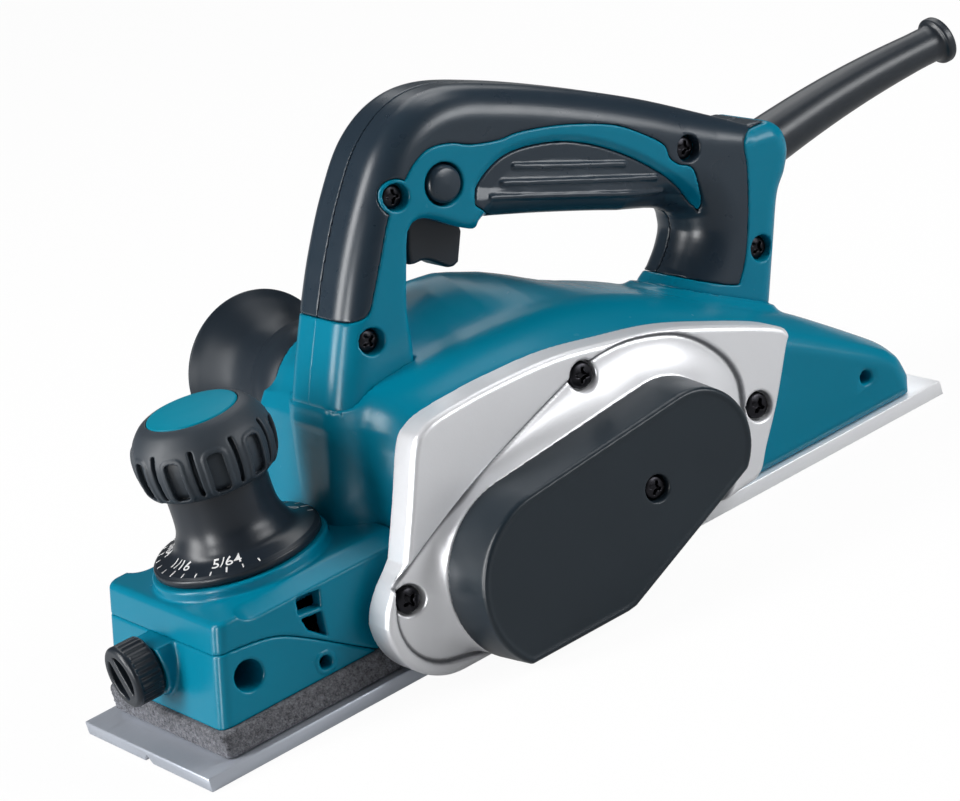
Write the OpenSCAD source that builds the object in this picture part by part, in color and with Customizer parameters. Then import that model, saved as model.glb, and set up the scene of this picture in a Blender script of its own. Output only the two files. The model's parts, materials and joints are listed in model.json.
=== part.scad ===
// Electric hand planer: adjustable front base, belt-driven cutter drum, closed rear handle.
// Millimetres, Z up, X towards the cord, belt side on -Y, origin in the middle of the sole.

/* [Sole] */
// Width of both base plates
sole_w = 82; // [80:0.5:86]
// Length of the front base plate
front_len = 88.5; // [80:0.5:110]
// Length of the rear base plate
rear_len = 161.5; // [158:0.5:200]
// Opening from the drum axis to the front base
mouth_front = 18; // [17.5:0.5:20]
// Opening from the drum axis to the rear base
mouth_rear = 17; // [17:0.5:20]
// Thickness of the base plates
plate_t = 4.5; // [4:0.25:5.5]
// Width of the groove under the front base
groove_w = 5; // [2:0.5:8]
// Depth of the groove under the front base
groove_d = 2.5; // [1:0.25:3]
// Travel of the front base
depth_max = 2.5; // [1:0.25:3]
// Shank radius of the base screws
base_screw_r = 2; // [1.5:0.25:2.5]
// Height of the foam seal above the front base
seal_h = 8.9; // [7:0.1:10]

/* [Cutter] */
// Radius of the cutting circle and height of the drum axis
cut_r = 24; // [23.5:0.25:25]
// Radius of the drum body
drum_r = 22.4; // [21:0.2:23]
// Thickness of a blade
blade_t = 1.2; // [0.8:0.1:2]
// Radius of the drum shaft at the belt side
drum_shaft_r = 7.5; // [6:0.5:9]
// Radius of the drum stub at the far side
drum_stub_r = 6; // [4:0.5:7]
// Outer radius of the belt-side drum bearing
drum_bearing_r = 16; // [14:0.5:17]
// Outer radius of the far drum bearing
stub_bearing_r = 11; // [9:0.5:14]

/* [Motor] */
// Distance of the motor axis behind the drum axis
motor_x = 63; // [61:0.5:65]
// Height of the motor axis above the sole
motor_z = 37; // [36:0.5:38.5]
// Radius of the bore for the stator
motor_bay_r = 29.5; // [28:0.5:30]
// Wall of the motor bulge
motor_wall = 3.5; // [3:0.25:4.5]
// Radius of the armature core
core_r = 17.6; // [15:0.2:18.5]
// Length of the armature core
core_len = 44; // [36:1:48]
// Radius of the armature shaft
shaft_r = 4.5; // [3.5:0.25:6]
// Outer radius of the belt-side motor bearing
motor_bearing_r = 13; // [11:0.5:15]
// Outer radius of the far motor bearing
end_bearing_r = 11; // [9:0.5:13]
// Radius of the commutator
commutator_r = 10; // [8:0.5:11]
// Radius of the fan
fan_r = 26; // [22:0.5:27]
// Side of the square carbon brushes
brush_side = 6; // [4:0.5:7]

/* [Frame and belt] */
// Thickness of the side frame
frame_t = 11.6; // [10.5:0.1:13]
// Rise of the frame towards the belt cover
dish_t = 4; // [2:0.25:6]
// Depth of the belt cover
cover_d = 19; // [18:0.5:24]
// Wall of the belt cover
cover_wall = 2.5; // [2:0.25:3]
// Radius of the drum pulley
drum_pulley_r = 14; // [12:0.25:15]
// Radius of the motor pulley
motor_pulley_r = 8.5; // [7:0.25:11]
// Thickness of the drive belt
belt_t = 2.4; // [1.5:0.1:3]
// Width of the drive belt
belt_w = 10; // [6:0.5:11]
// Head radius of the frame screws
frame_head_r = 4.3; // [3.5:0.1:5]

/* [Front block] */
// Height of the block top above the sole
block_top = 44.5; // [43:0.5:47]
// Distance of the block top edge in front of the drum axis
block_front = 86.5; // [84:0.5:92]
// Lean of the block front face
block_lean = 9; // [4:0.5:12]
// Radius of the fence rod hole
rod_r = 4.9; // [4:0.1:5.5]
// Radius of the small side holes
side_hole_r = 2.2; // [1.5:0.1:3]
// Radius of the thumb screw head
thumb_r = 10; // [8:0.5:12]
// Length of the thumb screw head
thumb_len = 10; // [8:0.5:14]

/* [Depth knob] */
// Distance of the knob axis in front of the drum axis
knob_x = 56; // [55:0.5:57]
// Radius of the depth screw
depth_screw_r = 7; // [5:0.5:8]
// Radius of the scale dial
dial_r = 26.5; // [24:0.5:29]
// Height of the dial with its neck
dial_h = 24; // [20:0.5:28]
// Radius of the knob neck
neck_r = 14; // [12:0.5:16]
// Radius of the knob cap
cap_r = 21.3; // [20:0.1:25]
// Height of the knob cap
cap_h = 23.3; // [20:0.1:28]
// Radius of the coloured disc
disc_r = 14.3; // [11:0.1:16]

/* [Handle] */
// Slope of the handle against the sole
handle_tilt = 25; // [24:0.25:26]
// Width of the handle
grip_w = 36; // [34:0.5:40]
// Height of the finger gap at its rear end
hand_gap = 23.4; // [22:0.2:27]
// Thickness of the grip from underside to top
grip_h = 36.6; // [35:0.2:40]
// Thickness of the front column
column_t = 21; // [20:0.25:22.5]
// Inset of the hard core under the soft grip
core_in = 4; // [3:0.25:5]
// Bevel along the outer edges of the handle
edge_cut = 7; // [4:0.25:8]
// Radius of the recesses for the handle screws
recess_r = 4.3; // [3.9:0.1:4.8]
// Width of the trigger
trigger_w = 14; // [10:0.5:16]
// Swing of the trigger in degrees
trigger_swing = 7; // [3:0.5:8]
// Radius of the lock button
lock_r = 6.1; // [4.5:0.1:6.5]
// Travel of the lock button
lock_travel = 2.5; // [1.5:0.25:3]

/* [Chip outlet and cord guard] */
// Radius of the chip outlet bore
outlet_r = 14; // [12:0.25:14.5]
// Rim radius of the chip outlet
outlet_rim_r = 25.5; // [22:0.5:28]
// Distance of the outlet rim from the middle plane
outlet_end = 80; // [76:0.5:90]
// Length of the cord guard outside the handle
guard_len = 83; // [60:1:110]
// Radius of the cord guard at the handle
guard_r = 7.7; // [6.5:0.1:8.2]
// Radius of the cord guard near its end
guard_end_r = 6; // [5:0.1:6.5]
// Radius of the cord hole
cord_r = 3.6; // [3:0.1:4]

/* [Which piece] */
// Name of the piece to draw

/* [Hidden] */
$fn = 48;

teal = [0.0, 0.45, 0.55];
dark = [0.13, 0.15, 0.18];
black = [0.06, 0.06, 0.08];
silver = [0.75, 0.76, 0.78];
steel = [0.6, 0.6, 0.62];
copper = [0.7, 0.4, 0.2];
felt = [0.5, 0.5, 0.5];
brass = [0.75, 0.6, 0.3];

// clearances: running fit, slide beside a moving piece, seat of a fixed piece
run_fit = 0.05;
slide_gap = 0.4;
seat_fit = 0.02;
// how far a cut runs past the face it opens
past = 1;

half_w = sole_w / 2;
sole_len = front_len + mouth_front + mouth_rear + rear_len;
// place of the drum axis when the origin is in the middle of the sole
drum_x = front_len + mouth_front - sole_len / 2;
front_end = -mouth_front - front_len;
rear_end = mouth_rear + rear_len;
drum_z = cut_r;
bay_r = cut_r + 2;
wall_y = half_w + slide_gap;
far_wall_y = wall_y + 5.2;
drum_half = half_w - slide_gap;

frame_back = -wall_y;
frame_face = frame_back - frame_t;
dish_face = frame_face - dish_t;
cover_face = dish_face - cover_d;
cover_inner = cover_face + cover_wall;
pulley_y0 = cover_inner + 2.5;
pulley_y1 = pulley_y0 + belt_w + 1.5;

seal_top = plate_t + seal_h;
// height that the front base never reaches
plates_clear = plate_t + depth_max + slide_gap;
block_half = half_w - 4.5;
block_bevel = 5.5;
bay_front = -bay_r - 4;
block_bay_front = -72;
block_bay_half = block_half - 5.5;
block_bay_top = block_top - 8;
rod_x = -81.5;
rod_z = 25.6;
thumb_z = 28.5;
thumb_x = -96;
boss_h = 3.6;
dial_z = block_top + boss_h + slide_gap;
cap_z = dial_z + dial_h;
knob_top = cap_z + cap_h;

bulge_r = motor_bay_r + motor_wall;
fan_y = frame_back + 3.5;
fan_w = 8;
baffle_y = fan_y + fan_w + 0.6;
baffle_t = 1.5;
coil_w = 6.8;
core_y0 = baffle_y + baffle_t + 0.8 + coil_w;
core_y1 = core_y0 + core_len;
// the motor bulge stands out past the edge of the sole
bulge_out = 18.8;
bulge_end = half_w + bulge_out;
comm_y1 = bulge_end - 2;
comm_y0 = comm_y1 - 12;
brush_y = (comm_y0 + comm_y1) / 2;
end_bearing_w = 5.6;
motor_cap_t = 8;
ear_r = 4.5;
ear_at = bulge_r + 0.7;
brush_hole_r = brush_side * 0.71 + 1.7;
brush_reach = bulge_r + 4;
brush_lip = 1.2;

outlet_x = 5.5;
outlet_z = 69.5;
outlet_boss_r = 20.5;
outlet_boss_y = far_wall_y;
duct_y = 30;
duct_r = 11;

handle_x = 36;
handle_z = 100;
grip_half = grip_w / 2;
grip_top = hand_gap + grip_h;
// inset of the hard core from the sides of the handle
core_side = 5;
column_front = -41;
column_in = column_front + column_t;
rear_in = 81;
rear_out = 118.5;

guard_x = 158;
guard_z = 90.2;
guard_rise = 4.6;

// shares of a curve through points: four points around a stretch, t from 0 to 1
function bend(a, b, c, d, t) =
    (2 * b + (c - a) * t + (2 * a - 5 * b + 4 * c - d) * t * t + (3 * b - a - 3 * c + d) * t * t * t) / 2;
// smooth open curve through the points p with n steps for each stretch
function smooth(p, n) = concat(
    [for (i = [0:len(p) - 2]) for (k = [0:n - 1])
        bend(p[max(i - 1, 0)], p[i], p[i + 1], p[min(i + 2, len(p) - 1)], k / n)],
    [p[len(p) - 1]]);
// arc about c with radius r from angle a to angle b in n steps
function arc(c, r, a, b, n) = [for (i = [0:n]) c + r * [cos(a + (b - a) * i / n), sin(a + (b - a) * i / n)]];

// side outline of the wide part of the housing, at the height of the side frame
dome_low = [[-14, seal_top], [-16, 40], [-10, 66], [-2, 74.5], [17, 75], [40, 74], [60, 70], [80, 65],
    [100, 57], [118, 48], [128.7, 41.4], [146.8, 29.4], [164.5, 14.8], [167.6, 8.6], [167, plate_t], [18, plate_t]];
// side outline of the middle part of the housing
dome_high = [[-bay_r, seal_top], [-bay_r, 44], [-19, 78], [-14, 82], [17, 82], [40, 80.5], [60, 77], [80, 71.5],
    [100, 63.5], [118, 54.5], [132, 46.5], [143.9, 39.5], [157.2, 28.8], [169.7, 18.4], [172.1, 15.4],
    [174.5, 10.4], [175, plate_t], [18, plate_t]];
// seat on the housing side under the side frame
frame_seat = [[-14, 14], [-14, 40], [-8, 66], [0, 74], [17, 74.5], [40, 73.5], [60, 69.5], [80, 64.5],
    [100, 56.5], [114, 49.5], [108, 32], [96, 12], [85, 9.6], [20, 9.6]];
// top of the chip duct hump
hump_top = [[29, 60], [29, 91.5], [52, 88], [64, 83.5], [80, 76], [92, 69.5], [92, 60]];
// line between lower and upper front block, closed below
parting = [[-110, 0], [-110, 35.2], [-89.5, 35.2], [-71, 33.2], [-61.6, 28.6], [-46.4, 18.2], [-39.4, seal_top], [-39.4, 0]];
window_high = [[-60.2, 35.3], [-59.3, 40.4], [-51.2, 39.6], [-52.6, 34.3]];
window_low = [[-59.8, 33.7], [-52.6, 32.9], [-53.5, 25], [-58.8, 29.5]];

// face outline of the side frame, with the round lobe round the drum end
frame_outline = concat(
    smooth([[-29.3, 40.3], [-22, 56], [-14.9, 71.8], [-10.2, 76.1], [-2.3, 78], [16.7, 78.7], [39.6, 77.6],
        [59.8, 73.7], [80, 68.9], [99.6, 61.2], [117.2, 53.1], [121.3, 48.8], [119, 44.6], [110.5, 30],
        [102.7, 18.9], [97, 11], [88, 9.2], [60, 6], [30, 0.8]], 3),
    arc([-20.5, 22.4], 21.6, 268, 140, 10));
frame_screw_at = [[46.7, 68], [-31.6, 29.6], [103.2, 31.9]];
cover_screw_at = [47.2, 33.7];
base_screw_at = [[40, half_w - 8], [40, 8 - half_w], [146, half_w - 13], [146, 13 - half_w]];
block_screw_at = [[-68, half_w - 13.5], [-68, 13.5 - half_w]];
post_at = [[-39, half_w - 21], [-39, 21 - half_w]];
handle_screw_at = [[-26.2, 24.4], [-30.7, -19.5], [79, 43.5], [110.8, 12.8]];
clamp_screw_at = [[100, 25.5], [100, 40.5]];

// outline of the belt cover, drawn in by d
function cover_outline(d) = concat(
    arc([8, 22.5], 29 - d, 222, 97, 12),
    arc([motor_x + 1, motor_z - 1], 20.4 - d, 95, -42, 12),
    [[29 - 0.5 * d, 1.6 + 1.1 * d], [26 - 0.3 * d, 1.2 + d], [-11 + 0.6 * d, 1.2 + d]]);

// side outline of the handle in its own sloping frame
handle_outline = concat(
    [[column_front, -42.5]],
    smooth([[column_front, -30], [column_front + 0.6, -10], [column_front + 1.8, 5], [column_front + 4.5, 22],
        [column_front + 9.5, 39], [column_front + 19, grip_top - 8.5], [column_front + 33, grip_top - 1.7],
        [14, grip_top], [40, grip_top - 0.5], [66, grip_top - 2.4], [90, grip_top - 5.8], [104, grip_top - 8.2]], 3),
    smooth([[105.5, grip_top - 7.4], [112, grip_top - 5.6], [118.5, grip_top - 7], [121.8, 47], [120.8, 38],
        [rear_out - 0.7, 30], [rear_out - 0.5, 15], [rear_out, -5.6]], 2),
    [[rear_in - 6.5, 0]],
    smooth([[rear_in - 2.5, 5], [rear_in, 12], [rear_in + 0.5, 18], [rear_in - 3.5, hand_gap],
        [56, hand_gap], [31, hand_gap - 1.1], [10, hand_gap - 3]], 3),
    [[4.6, hand_gap - 3.4], [3.4, hand_gap - 7.6], [-14, hand_gap - 7.6]],
    smooth([[column_in - 0.5, hand_gap - 10.4], [column_in, 4], [column_in + 1.4, -10], [column_in + 4.2, -20],
        [column_in + 5.5, -27]], 2),
    [[-25, -37], [-32, -42]]);
// hard front part of the handle with the band that runs back along the grip
front_shell = concat(
    [[-60, -60], [-60, -14.6]],
    smooth([[-37.7, -14.5], [-32.9, -11.6], [-31.4, -4.2], [-30.1, 6.1], [-28.3, 18.9], [-24, 29.2],
        [-20.9, 35.1], [-16.1, 39.7], [-8.8, 41.6], [-1.3, 41.5], [8.4, 43.3], [15.1, 45.9], [27.4, 48.4],
        [39.2, 49.6], [51.1, 49.6], [61.7, 47.2], [69.5, 44.3], [72.1, 40.4], [75.8, 38.4], [81.1, 37.5],
        [85.3, 31.5], [88.1, 27.2]], 2),
    smooth([[87.4, 24.3], [79.3, 30.6], [69.9, 35.3], [58.2, 39.8], [45, 42.9], [33, 43.7], [22.2, 42.3],
        [13.2, 39.5], [7, 35.1], [2.6, 29.2], [1.4, 25], [1.3, 15]], 2),
    [[1.3, -60]]);
// hard rear part: cord collar and foot
rear_shell = concat(
    [[93, 80]],
    smooth([[93.1, 53], [98.7, 46.5], [101.8, 38.6], [104.1, 25.4], [104.8, 10.7], [103.5, 2.6], [101.8, 0.7],
        [89.2, 1.5], [75.7, 3.4], [67.3, 4.7]], 2),
    [[56, 5.6], [56, -40], [150, -40], [150, 80]]);
trigger_outline = concat(
    [[-15, 24], [2, 24], [3, 17], [4.6, 14], [4.5, 4.4]],
    smooth([[3, 3], [0.6, 2.6], [-3.1, 3.8], [-7.7, 4.6], [-11, 3.4], [-13.2, 3]], 3),
    [[-14.6, 8], [-15.5, 16]]);
trigger_pin_at = [-11, 21];
lock_at = [-10, 29.1];

// a plane outline in x and z, drawn out from y0 to y1
module side(y0, y1) {
    translate([0, y1, 0]) rotate([90, 0, 0]) linear_extrude(y1 - y0) children();
}

// a round bar along Y
module bar_y(x, z, y0, y1, r) {
    translate([x, y1, z]) rotate([90, 0, 0]) cylinder(h = y1 - y0, r = r);
}

// a round bar along X
module bar_x(y, z, x0, x1, r) {
    translate([x0, y, z]) rotate([0, 90, 0]) cylinder(h = x1 - x0, r = r);
}

// a bushing along Y
module ring_y(x, z, y0, y1, r_out, r_in) {
    difference() {
        bar_y(x, z, y0, y1, r_out);
        bar_y(x, z, y0 - past, y1 + past, r_in);
    }
}

// the sloping frame of the handle
module tilted() {
    translate([handle_x, 0, handle_z]) rotate([0, handle_tilt, 0]) children();
}

// the frame of the cord guard with Z along the cord
module guard_frame() {
    translate([guard_x, 0, guard_z]) rotate([0, 90 - guard_rise, 0]) children();
}

// the frame of one blade: X outwards through the blade, 0 or 1 for the two sides
module blade_frame(i) {
    translate([0, 0, drum_z]) rotate([0, 180 * i, 0]) children();
}

module rear_base() {
    // height of the screw head cones
    cone_h = 2.4;
    color(silver) difference() {
        translate([mouth_rear, -half_w, 0]) cube([rear_len, sole_w, plate_t]);
        // lip behind the blades, cut back to follow the drum
        bar_y(0, drum_z, -half_w - past, half_w + past, cut_r + 0.6);
        for (p = base_screw_at) {
            translate([p[0], p[1], -past]) cylinder(h = plate_t + 2 * past, r = base_screw_r + 0.2);
            translate([p[0], p[1], -0.01]) cylinder(h = cone_h, r1 = base_screw_r + 2.4, r2 = base_screw_r + 0.2);
        }
    }
}

module base_screws() {
    // head sunk below the sole, height of its cone, length into the housing
    sunk = 0.3;
    cone_h = 2;
    grip = 8;
    color(steel) for (p = base_screw_at) translate([p[0], p[1], sunk]) {
        cylinder(h = cone_h, r1 = base_screw_r + 1.9, r2 = base_screw_r);
        cylinder(h = plate_t + grip, r = base_screw_r);
    }
}

module front_base() {
    // boss round the depth screw and the two guide posts
    boss_r = 11;
    boss_top = 24;
    post_r = 4;
    post_top = 34;
    color(silver) difference() {
        union() {
            translate([front_end, -half_w, 0]) cube([front_len, sole_w, plate_t]);
            translate([-knob_x, 0, 0]) cylinder(h = boss_top, r = boss_r);
            for (p = post_at) translate([p[0], p[1], 0]) cylinder(h = post_top, r = post_r);
        }
        translate([-knob_x, 0, plate_t + 2]) cylinder(h = boss_top, r = depth_screw_r + 0.3);
        translate([front_end - past, 0, 0]) rotate([90, 0, 90])
            linear_extrude(front_len + 2 * past) polygon([[-groove_w / 2, -0.01], [groove_w / 2, -0.01], [0, groove_d]]);
    }
}

module foam_seal() {
    // distance of the seal from the sole edge, its width, its gap to the moving base
    edge = 2.5;
    strip = 6.5;
    gap = 0.2;
    front = -block_front - block_lean - 1.8;
    color(felt) difference() {
        translate([front, edge - half_w, plate_t + gap]) cube([-28 - front, sole_w - 2 * edge, seal_h - gap]);
        translate([front + strip, edge + strip - half_w, 0])
            cube([-28 - front - 2 * strip + 1.5, sole_w - 2 * edge - 2 * strip, seal_top + past]);
    }
}

// whole front block before it is split
module block_body() {
    intersection() {
        side(-block_half, block_half) polygon([[-block_front - block_lean, seal_top], [-block_front, block_top],
            [past - bay_r, block_top], [past - bay_r, seal_top]]);
        translate([-120, 0, 0]) rotate([90, 0, 90]) linear_extrude(120)
            polygon([[-block_half, 0], [-block_half, block_top - 2.7], [block_bevel - block_half, block_top],
                [block_half - block_bevel, block_top], [block_half, block_top - 2.7], [block_half, 0]]);
    }
}

// room inside the front block for the depth screw and guide posts
module block_bay() {
    translate([block_bay_front, -block_bay_half, 0])
        cube([bay_front - block_bay_front, 2 * block_bay_half, block_bay_top]);
}

module front_housing() {
    // collar behind the thumb screw
    collar_r = 10.5;
    screw_boss_r = 5.5;
    color(teal) difference() {
        union() {
            difference() {
                intersection() {
                    union() {
                        block_body();
                        bar_x(0, thumb_z, thumb_x + 0.4, -block_front, collar_r);
                    }
                    side(-half_w, half_w) polygon(parting);
                }
                block_bay();
            }
            for (p = block_screw_at) intersection() {
                translate([p[0], p[1], seal_top]) cylinder(h = 30, r = screw_boss_r);
                side(-half_w, half_w) polygon(parting);
            }
        }
        bar_y(rod_x, rod_z, -half_w, half_w, rod_r);
        bar_x(0, thumb_z, thumb_x - past, rod_x, 4.1);
        bar_y(-56.8, 17.8, -half_w, past - block_bay_half, side_hole_r);
        for (p = block_screw_at) translate([p[0], p[1], 0]) {
            cylinder(h = 60, r = 2);
            cylinder(h = seal_top + 3, r = 4);
        }
    }
}

module block_screws() {
    head_r = 3.6;
    color(steel) for (p = block_screw_at) translate([p[0], p[1], seal_top + 0.4]) {
        cylinder(h = 2.6, r = head_r);
        cylinder(h = 26, r = 1.75);
    }
}

module main_housing() {
    // wide and middle half widths of the housing
    wide = half_w - 1;
    middle = half_w - 13;
    sleeve_r = 7;
    screw_boss_r = 5.5;
    color(teal) difference() {
        union() {
            difference() {
                union() {
                    hull() {
                        side(-wide, wide) polygon(dome_low);
                        side(-middle, middle) polygon(dome_high);
                    }
                    hull() {
                        bar_y(outlet_x, outlet_z, grip_half + past, wide + 3, outlet_boss_r, $fn = 32);
                        side(8, middle) polygon(hump_top);
                    }
                    difference() {
                        block_body();
                        side(-half_w, half_w) translate([0, 0.15]) polygon(parting);
                    }
                    side(frame_back, 0) polygon(frame_seat);
                    bar_y(frame_screw_at[1][0], frame_screw_at[1][1], frame_back, -block_bay_half, 6);
                    bar_y(motor_x, motor_z, 0, bulge_end, bulge_r);
                    for (a = [45:90:315])
                        bar_y(motor_x + ear_at * cos(a), motor_z + ear_at * sin(a), half_w, bulge_end, ear_r);
                    bar_x(brush_y, motor_z, motor_x - brush_reach, motor_x + brush_reach, brush_hole_r + 2);
                    difference() {
                        bar_y(0, drum_z, half_w - 10, far_wall_y, bay_r + 2);
                        translate([-bay_r - 5, 0, 1.5 - bay_r]) cube([2 * bay_r + 10, 2 * half_w, bay_r]);
                        // room for the ends of both base plates
                        translate([-bay_r - 5, 0, plates_clear - bay_r]) cube([2 * bay_r + 10, wall_y, bay_r]);
                    }
                    bar_y(outlet_x, outlet_z, duct_y, outlet_boss_y, outlet_boss_r);
                    translate([-knob_x, 0, block_top - past]) cylinder(h = boss_h + past, r = 29.5);
                    tilted() side(-grip_half - 2, grip_half + 2)
                        polygon([[rear_in - 16, -14], [rear_in - 8.5, -0.2], [rear_in - 6.5, 0], [rear_out, -5.6], [rear_out + 2, -24]]);
                }
                block_bay();
                bar_y(0, drum_z, -wall_y - past, wall_y, bay_r);
                bar_y(motor_x, motor_z, -wall_y - past, bulge_end + past, motor_bay_r);
            }
            for (p = post_at) translate([p[0], p[1], 20]) cylinder(h = block_bay_top - 19, r = sleeve_r);
            for (p = block_screw_at) difference() {
                translate([p[0], p[1], seal_top]) cylinder(h = block_bay_top - seal_top + past, r = screw_boss_r);
                side(-half_w, half_w) translate([0, 0.15]) polygon(parting);
            }
        }
        for (p = post_at) translate([p[0], p[1], 0]) cylinder(h = 38.5, r = 4 + run_fit);
        for (p = block_screw_at) translate([p[0], p[1], seal_top]) cylinder(h = 27, r = 1.77);
        translate([-knob_x, 0, 0]) cylinder(h = 60, r = depth_screw_r + run_fit);
        side(-half_w, past - block_bay_half) polygon(window_high);
        side(-half_w, past - block_bay_half) polygon(window_low);
        // chip duct up from the drum and out to the far side
        translate([2, duct_y, drum_z]) cylinder(h = outlet_z - drum_z, r = duct_r);
        bar_y(outlet_x, outlet_z, grip_half + past, outlet_boss_y + past, outlet_r);
        bar_y(outlet_x, outlet_z, outlet_boss_y - 7.2, outlet_boss_y + past, outlet_r + 2.1);
        // far drum bearing seat
        bar_y(0, drum_z, wall_y - past, wall_y + 3.8, stub_bearing_r + seat_fit);
        bar_x(brush_y, motor_z, motor_x - brush_reach - past, motor_x + brush_reach + past, brush_hole_r);
        // room beside the front brush cap
        bar_x(brush_y, motor_z, motor_x - brush_reach - 4, motor_x - brush_reach, brush_hole_r + brush_lip + slide_gap);
        for (a = [45:90:315])
            bar_y(motor_x + ear_at * cos(a), motor_z + ear_at * sin(a), bulge_end - 9, bulge_end + past, 1.5);
        for (p = base_screw_at) translate([p[0], p[1], 0]) cylinder(h = plate_t + 9, r = base_screw_r + seat_fit);
        for (p = frame_screw_at) bar_y(p[0], p[1], frame_back - past, frame_back + 9.5, 2.02);
        tilted() intersection() {
            side(-grip_half, grip_half) polygon(handle_outline);
            handle_envelope();
        }
        // the motor bulge stops above the rear base
        translate([mouth_rear, -past, -past]) cube([rear_len, bulge_end + 2 * past, plate_t + past]);
        // room in the tail, and its side hole
        side(-22, 22) polygon([[112, 0], [112, 42], [122, 41], [152, 18], [156, 0]]);
        bar_y(152.4, 17.5, -half_w, 12 - half_w, side_hole_r);
    }
}

module side_frame() {
    // seats of the two bearings
    drum_seat = 9.2;
    motor_seat = 8.2;
    color(silver) difference() {
        union() {
            side(frame_face, frame_back) polygon(frame_outline);
            hull() {
                bar_y(motor_x, motor_z, frame_face, frame_face + past, 32, $fn = 40);
                bar_y(2, 27.5, frame_face, frame_face + past, 26, $fn = 40);
                bar_y(motor_x + 0.5, motor_z - 0.5, dish_face, frame_face, 22.4, $fn = 40);
                bar_y(9, 26.5, dish_face, frame_face, 25, $fn = 40);
            }
            bar_y(cover_screw_at[0], cover_screw_at[1], cover_inner + 4, frame_face, 5);
        }
        bar_y(0, drum_z, frame_back - drum_seat, frame_back + past, drum_bearing_r + seat_fit);
        bar_y(0, drum_z, dish_face - past, frame_back, drum_shaft_r + 2);
        bar_y(motor_x, motor_z, frame_back - motor_seat, frame_back + past, motor_bearing_r + seat_fit);
        bar_y(motor_x, motor_z, dish_face - past, frame_back, shaft_r + 2);
        bar_y(cover_screw_at[0], cover_screw_at[1], cover_inner, cover_inner + 16, 1.72);
        for (p = frame_screw_at) {
            bar_y(p[0], p[1], frame_face - past, frame_face + 3.4, frame_head_r + 0.4);
            bar_y(p[0], p[1], frame_face, frame_back + past, 2.2);
        }
        // nothing of the dish reaches below the sole
        translate([-60, dish_face - past, -20]) cube([120, 30, 20.8]);
    }
}

// a cross-slotted screw along +Y with its head face at y
module slot_screw(x, z, y, head_r, head_h, shank_r, reach) {
    difference() {
        union() {
            bar_y(x, z, y, y + head_h, head_r);
            bar_y(x, z, y, y + reach, shank_r);
        }
        for (a = [0, 90]) translate([x, y, z]) rotate([0, a, 0])
            translate([-head_r * 0.6, -past, -0.5]) cube([head_r * 1.2, past + head_h * 0.5, 1]);
    }
}

module frame_screws() {
    color(black) for (p = frame_screw_at)
        slot_screw(p[0], p[1], frame_face + 0.6, frame_head_r, 2.8, 2, 20);
}

module belt_cover() {
    // boss on the screw between the belt runs
    boss_r = 6.5;
    sx = cover_screw_at[0];
    sz = cover_screw_at[1];
    color(black) difference() {
        union() {
            difference() {
                side(cover_face, dish_face) polygon(cover_outline(0));
                side(cover_inner, dish_face + past) polygon(cover_outline(cover_wall));
            }
            bar_y(sx, sz, cover_face, cover_inner + 4, boss_r);
        }
        bar_y(sx, sz, cover_face - past, cover_face + 4, 4.2);
        bar_y(sx, sz, cover_face, cover_inner + 5, 2.2);
        // shallow bare field inside the rim of the face
        side(cover_face - past, cover_face + 0.5) polygon(cover_outline(2));
    }
}

module belt_cover_screw() {
    color(black) slot_screw(cover_screw_at[0], cover_screw_at[1], cover_face + 1.4, 3.8, 2.6, 1.7, 17);
}

// recesses and pilot holes of the handle screws
module handle_screw_holes() {
    for (p = handle_screw_at) {
        bar_y(p[0], p[1], -grip_half - past, -grip_half + 9, recess_r);
        bar_y(p[0], p[1], -grip_half, 12.5, 1.7);
    }
}

// rooms inside the handle: switch, trigger, lock button, cable and cord clamp
module handle_rooms() {
    translate([-2.1, -9.1, 26.9]) cube([30.2, 18.2, 20.2]);
    translate([-18.5, -trigger_w / 2 - slide_gap, 5]) cube([27.5, trigger_w + 2 * slide_gap, 21.9]);
    translate([28, -4, 34]) cube([66, 8, 8]);
    translate([91, -10, 22]) cube([18, 20, 22]);
    bar_y(trigger_pin_at[0], trigger_pin_at[1], -10, 10, 1.62);
    bar_y(lock_at[0], lock_at[1], -grip_half - past, -9, lock_r + 0.3);
    bar_y(lock_at[0], lock_at[1], -10, -1, 3.4);
}

// outer envelope of the handle with its bevelled edges
module handle_envelope() {
    outer = concat(handle_outline, [[column_front, -80], [rear_out, -80]]);
    hull() {
        side(-grip_half, grip_half) offset(delta = -edge_cut) hull() polygon(outer);
        side(edge_cut - grip_half, grip_half - edge_cut) polygon(outer);
    }
}

// bore and flange groove for the cord guard
module guard_room() {
    guard_frame() {
        translate([0, 0, -9]) cylinder(h = 30, r = guard_r + 0.1);
        translate([0, 0, -8]) cylinder(h = 4.2, r = guard_r + 2.6);
        translate([0, 0, -20]) cylinder(h = 16, r = cord_r + 0.4);
    }
}

// hard half of the handle between y0 and y1, its core between c0 and c1
module handle_half(y0, y1, c0, c1) {
    difference() {
        tilted() difference() {
            union() {
                intersection() {
                    side(y0, y1) intersection() {
                        polygon(handle_outline);
                        union() {
                            polygon(front_shell);
                            polygon(rear_shell);
                        }
                    }
                    handle_envelope();
                }
                side(c0, c1) offset(delta = -core_in) polygon(handle_outline);
            }
            handle_screw_holes();
            handle_rooms();
        }
        guard_room();
    }
}

// soft half of the grip over the core
module grip_half_shell(y0, y1, c0, c1) {
    difference() {
        tilted() difference() {
            intersection() {
                side(y0, y1) difference() {
                    polygon(handle_outline);
                    polygon(front_shell);
                    polygon(rear_shell);
                }
                handle_envelope();
            }
            side(c0, c1) offset(delta = -core_in) polygon(handle_outline);
            handle_screw_holes();
            handle_rooms();
        }
        guard_room();
    }
}

module handle_left() {
    color(teal) handle_half(-grip_half, 0, core_side - grip_half, 0);
}

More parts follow.
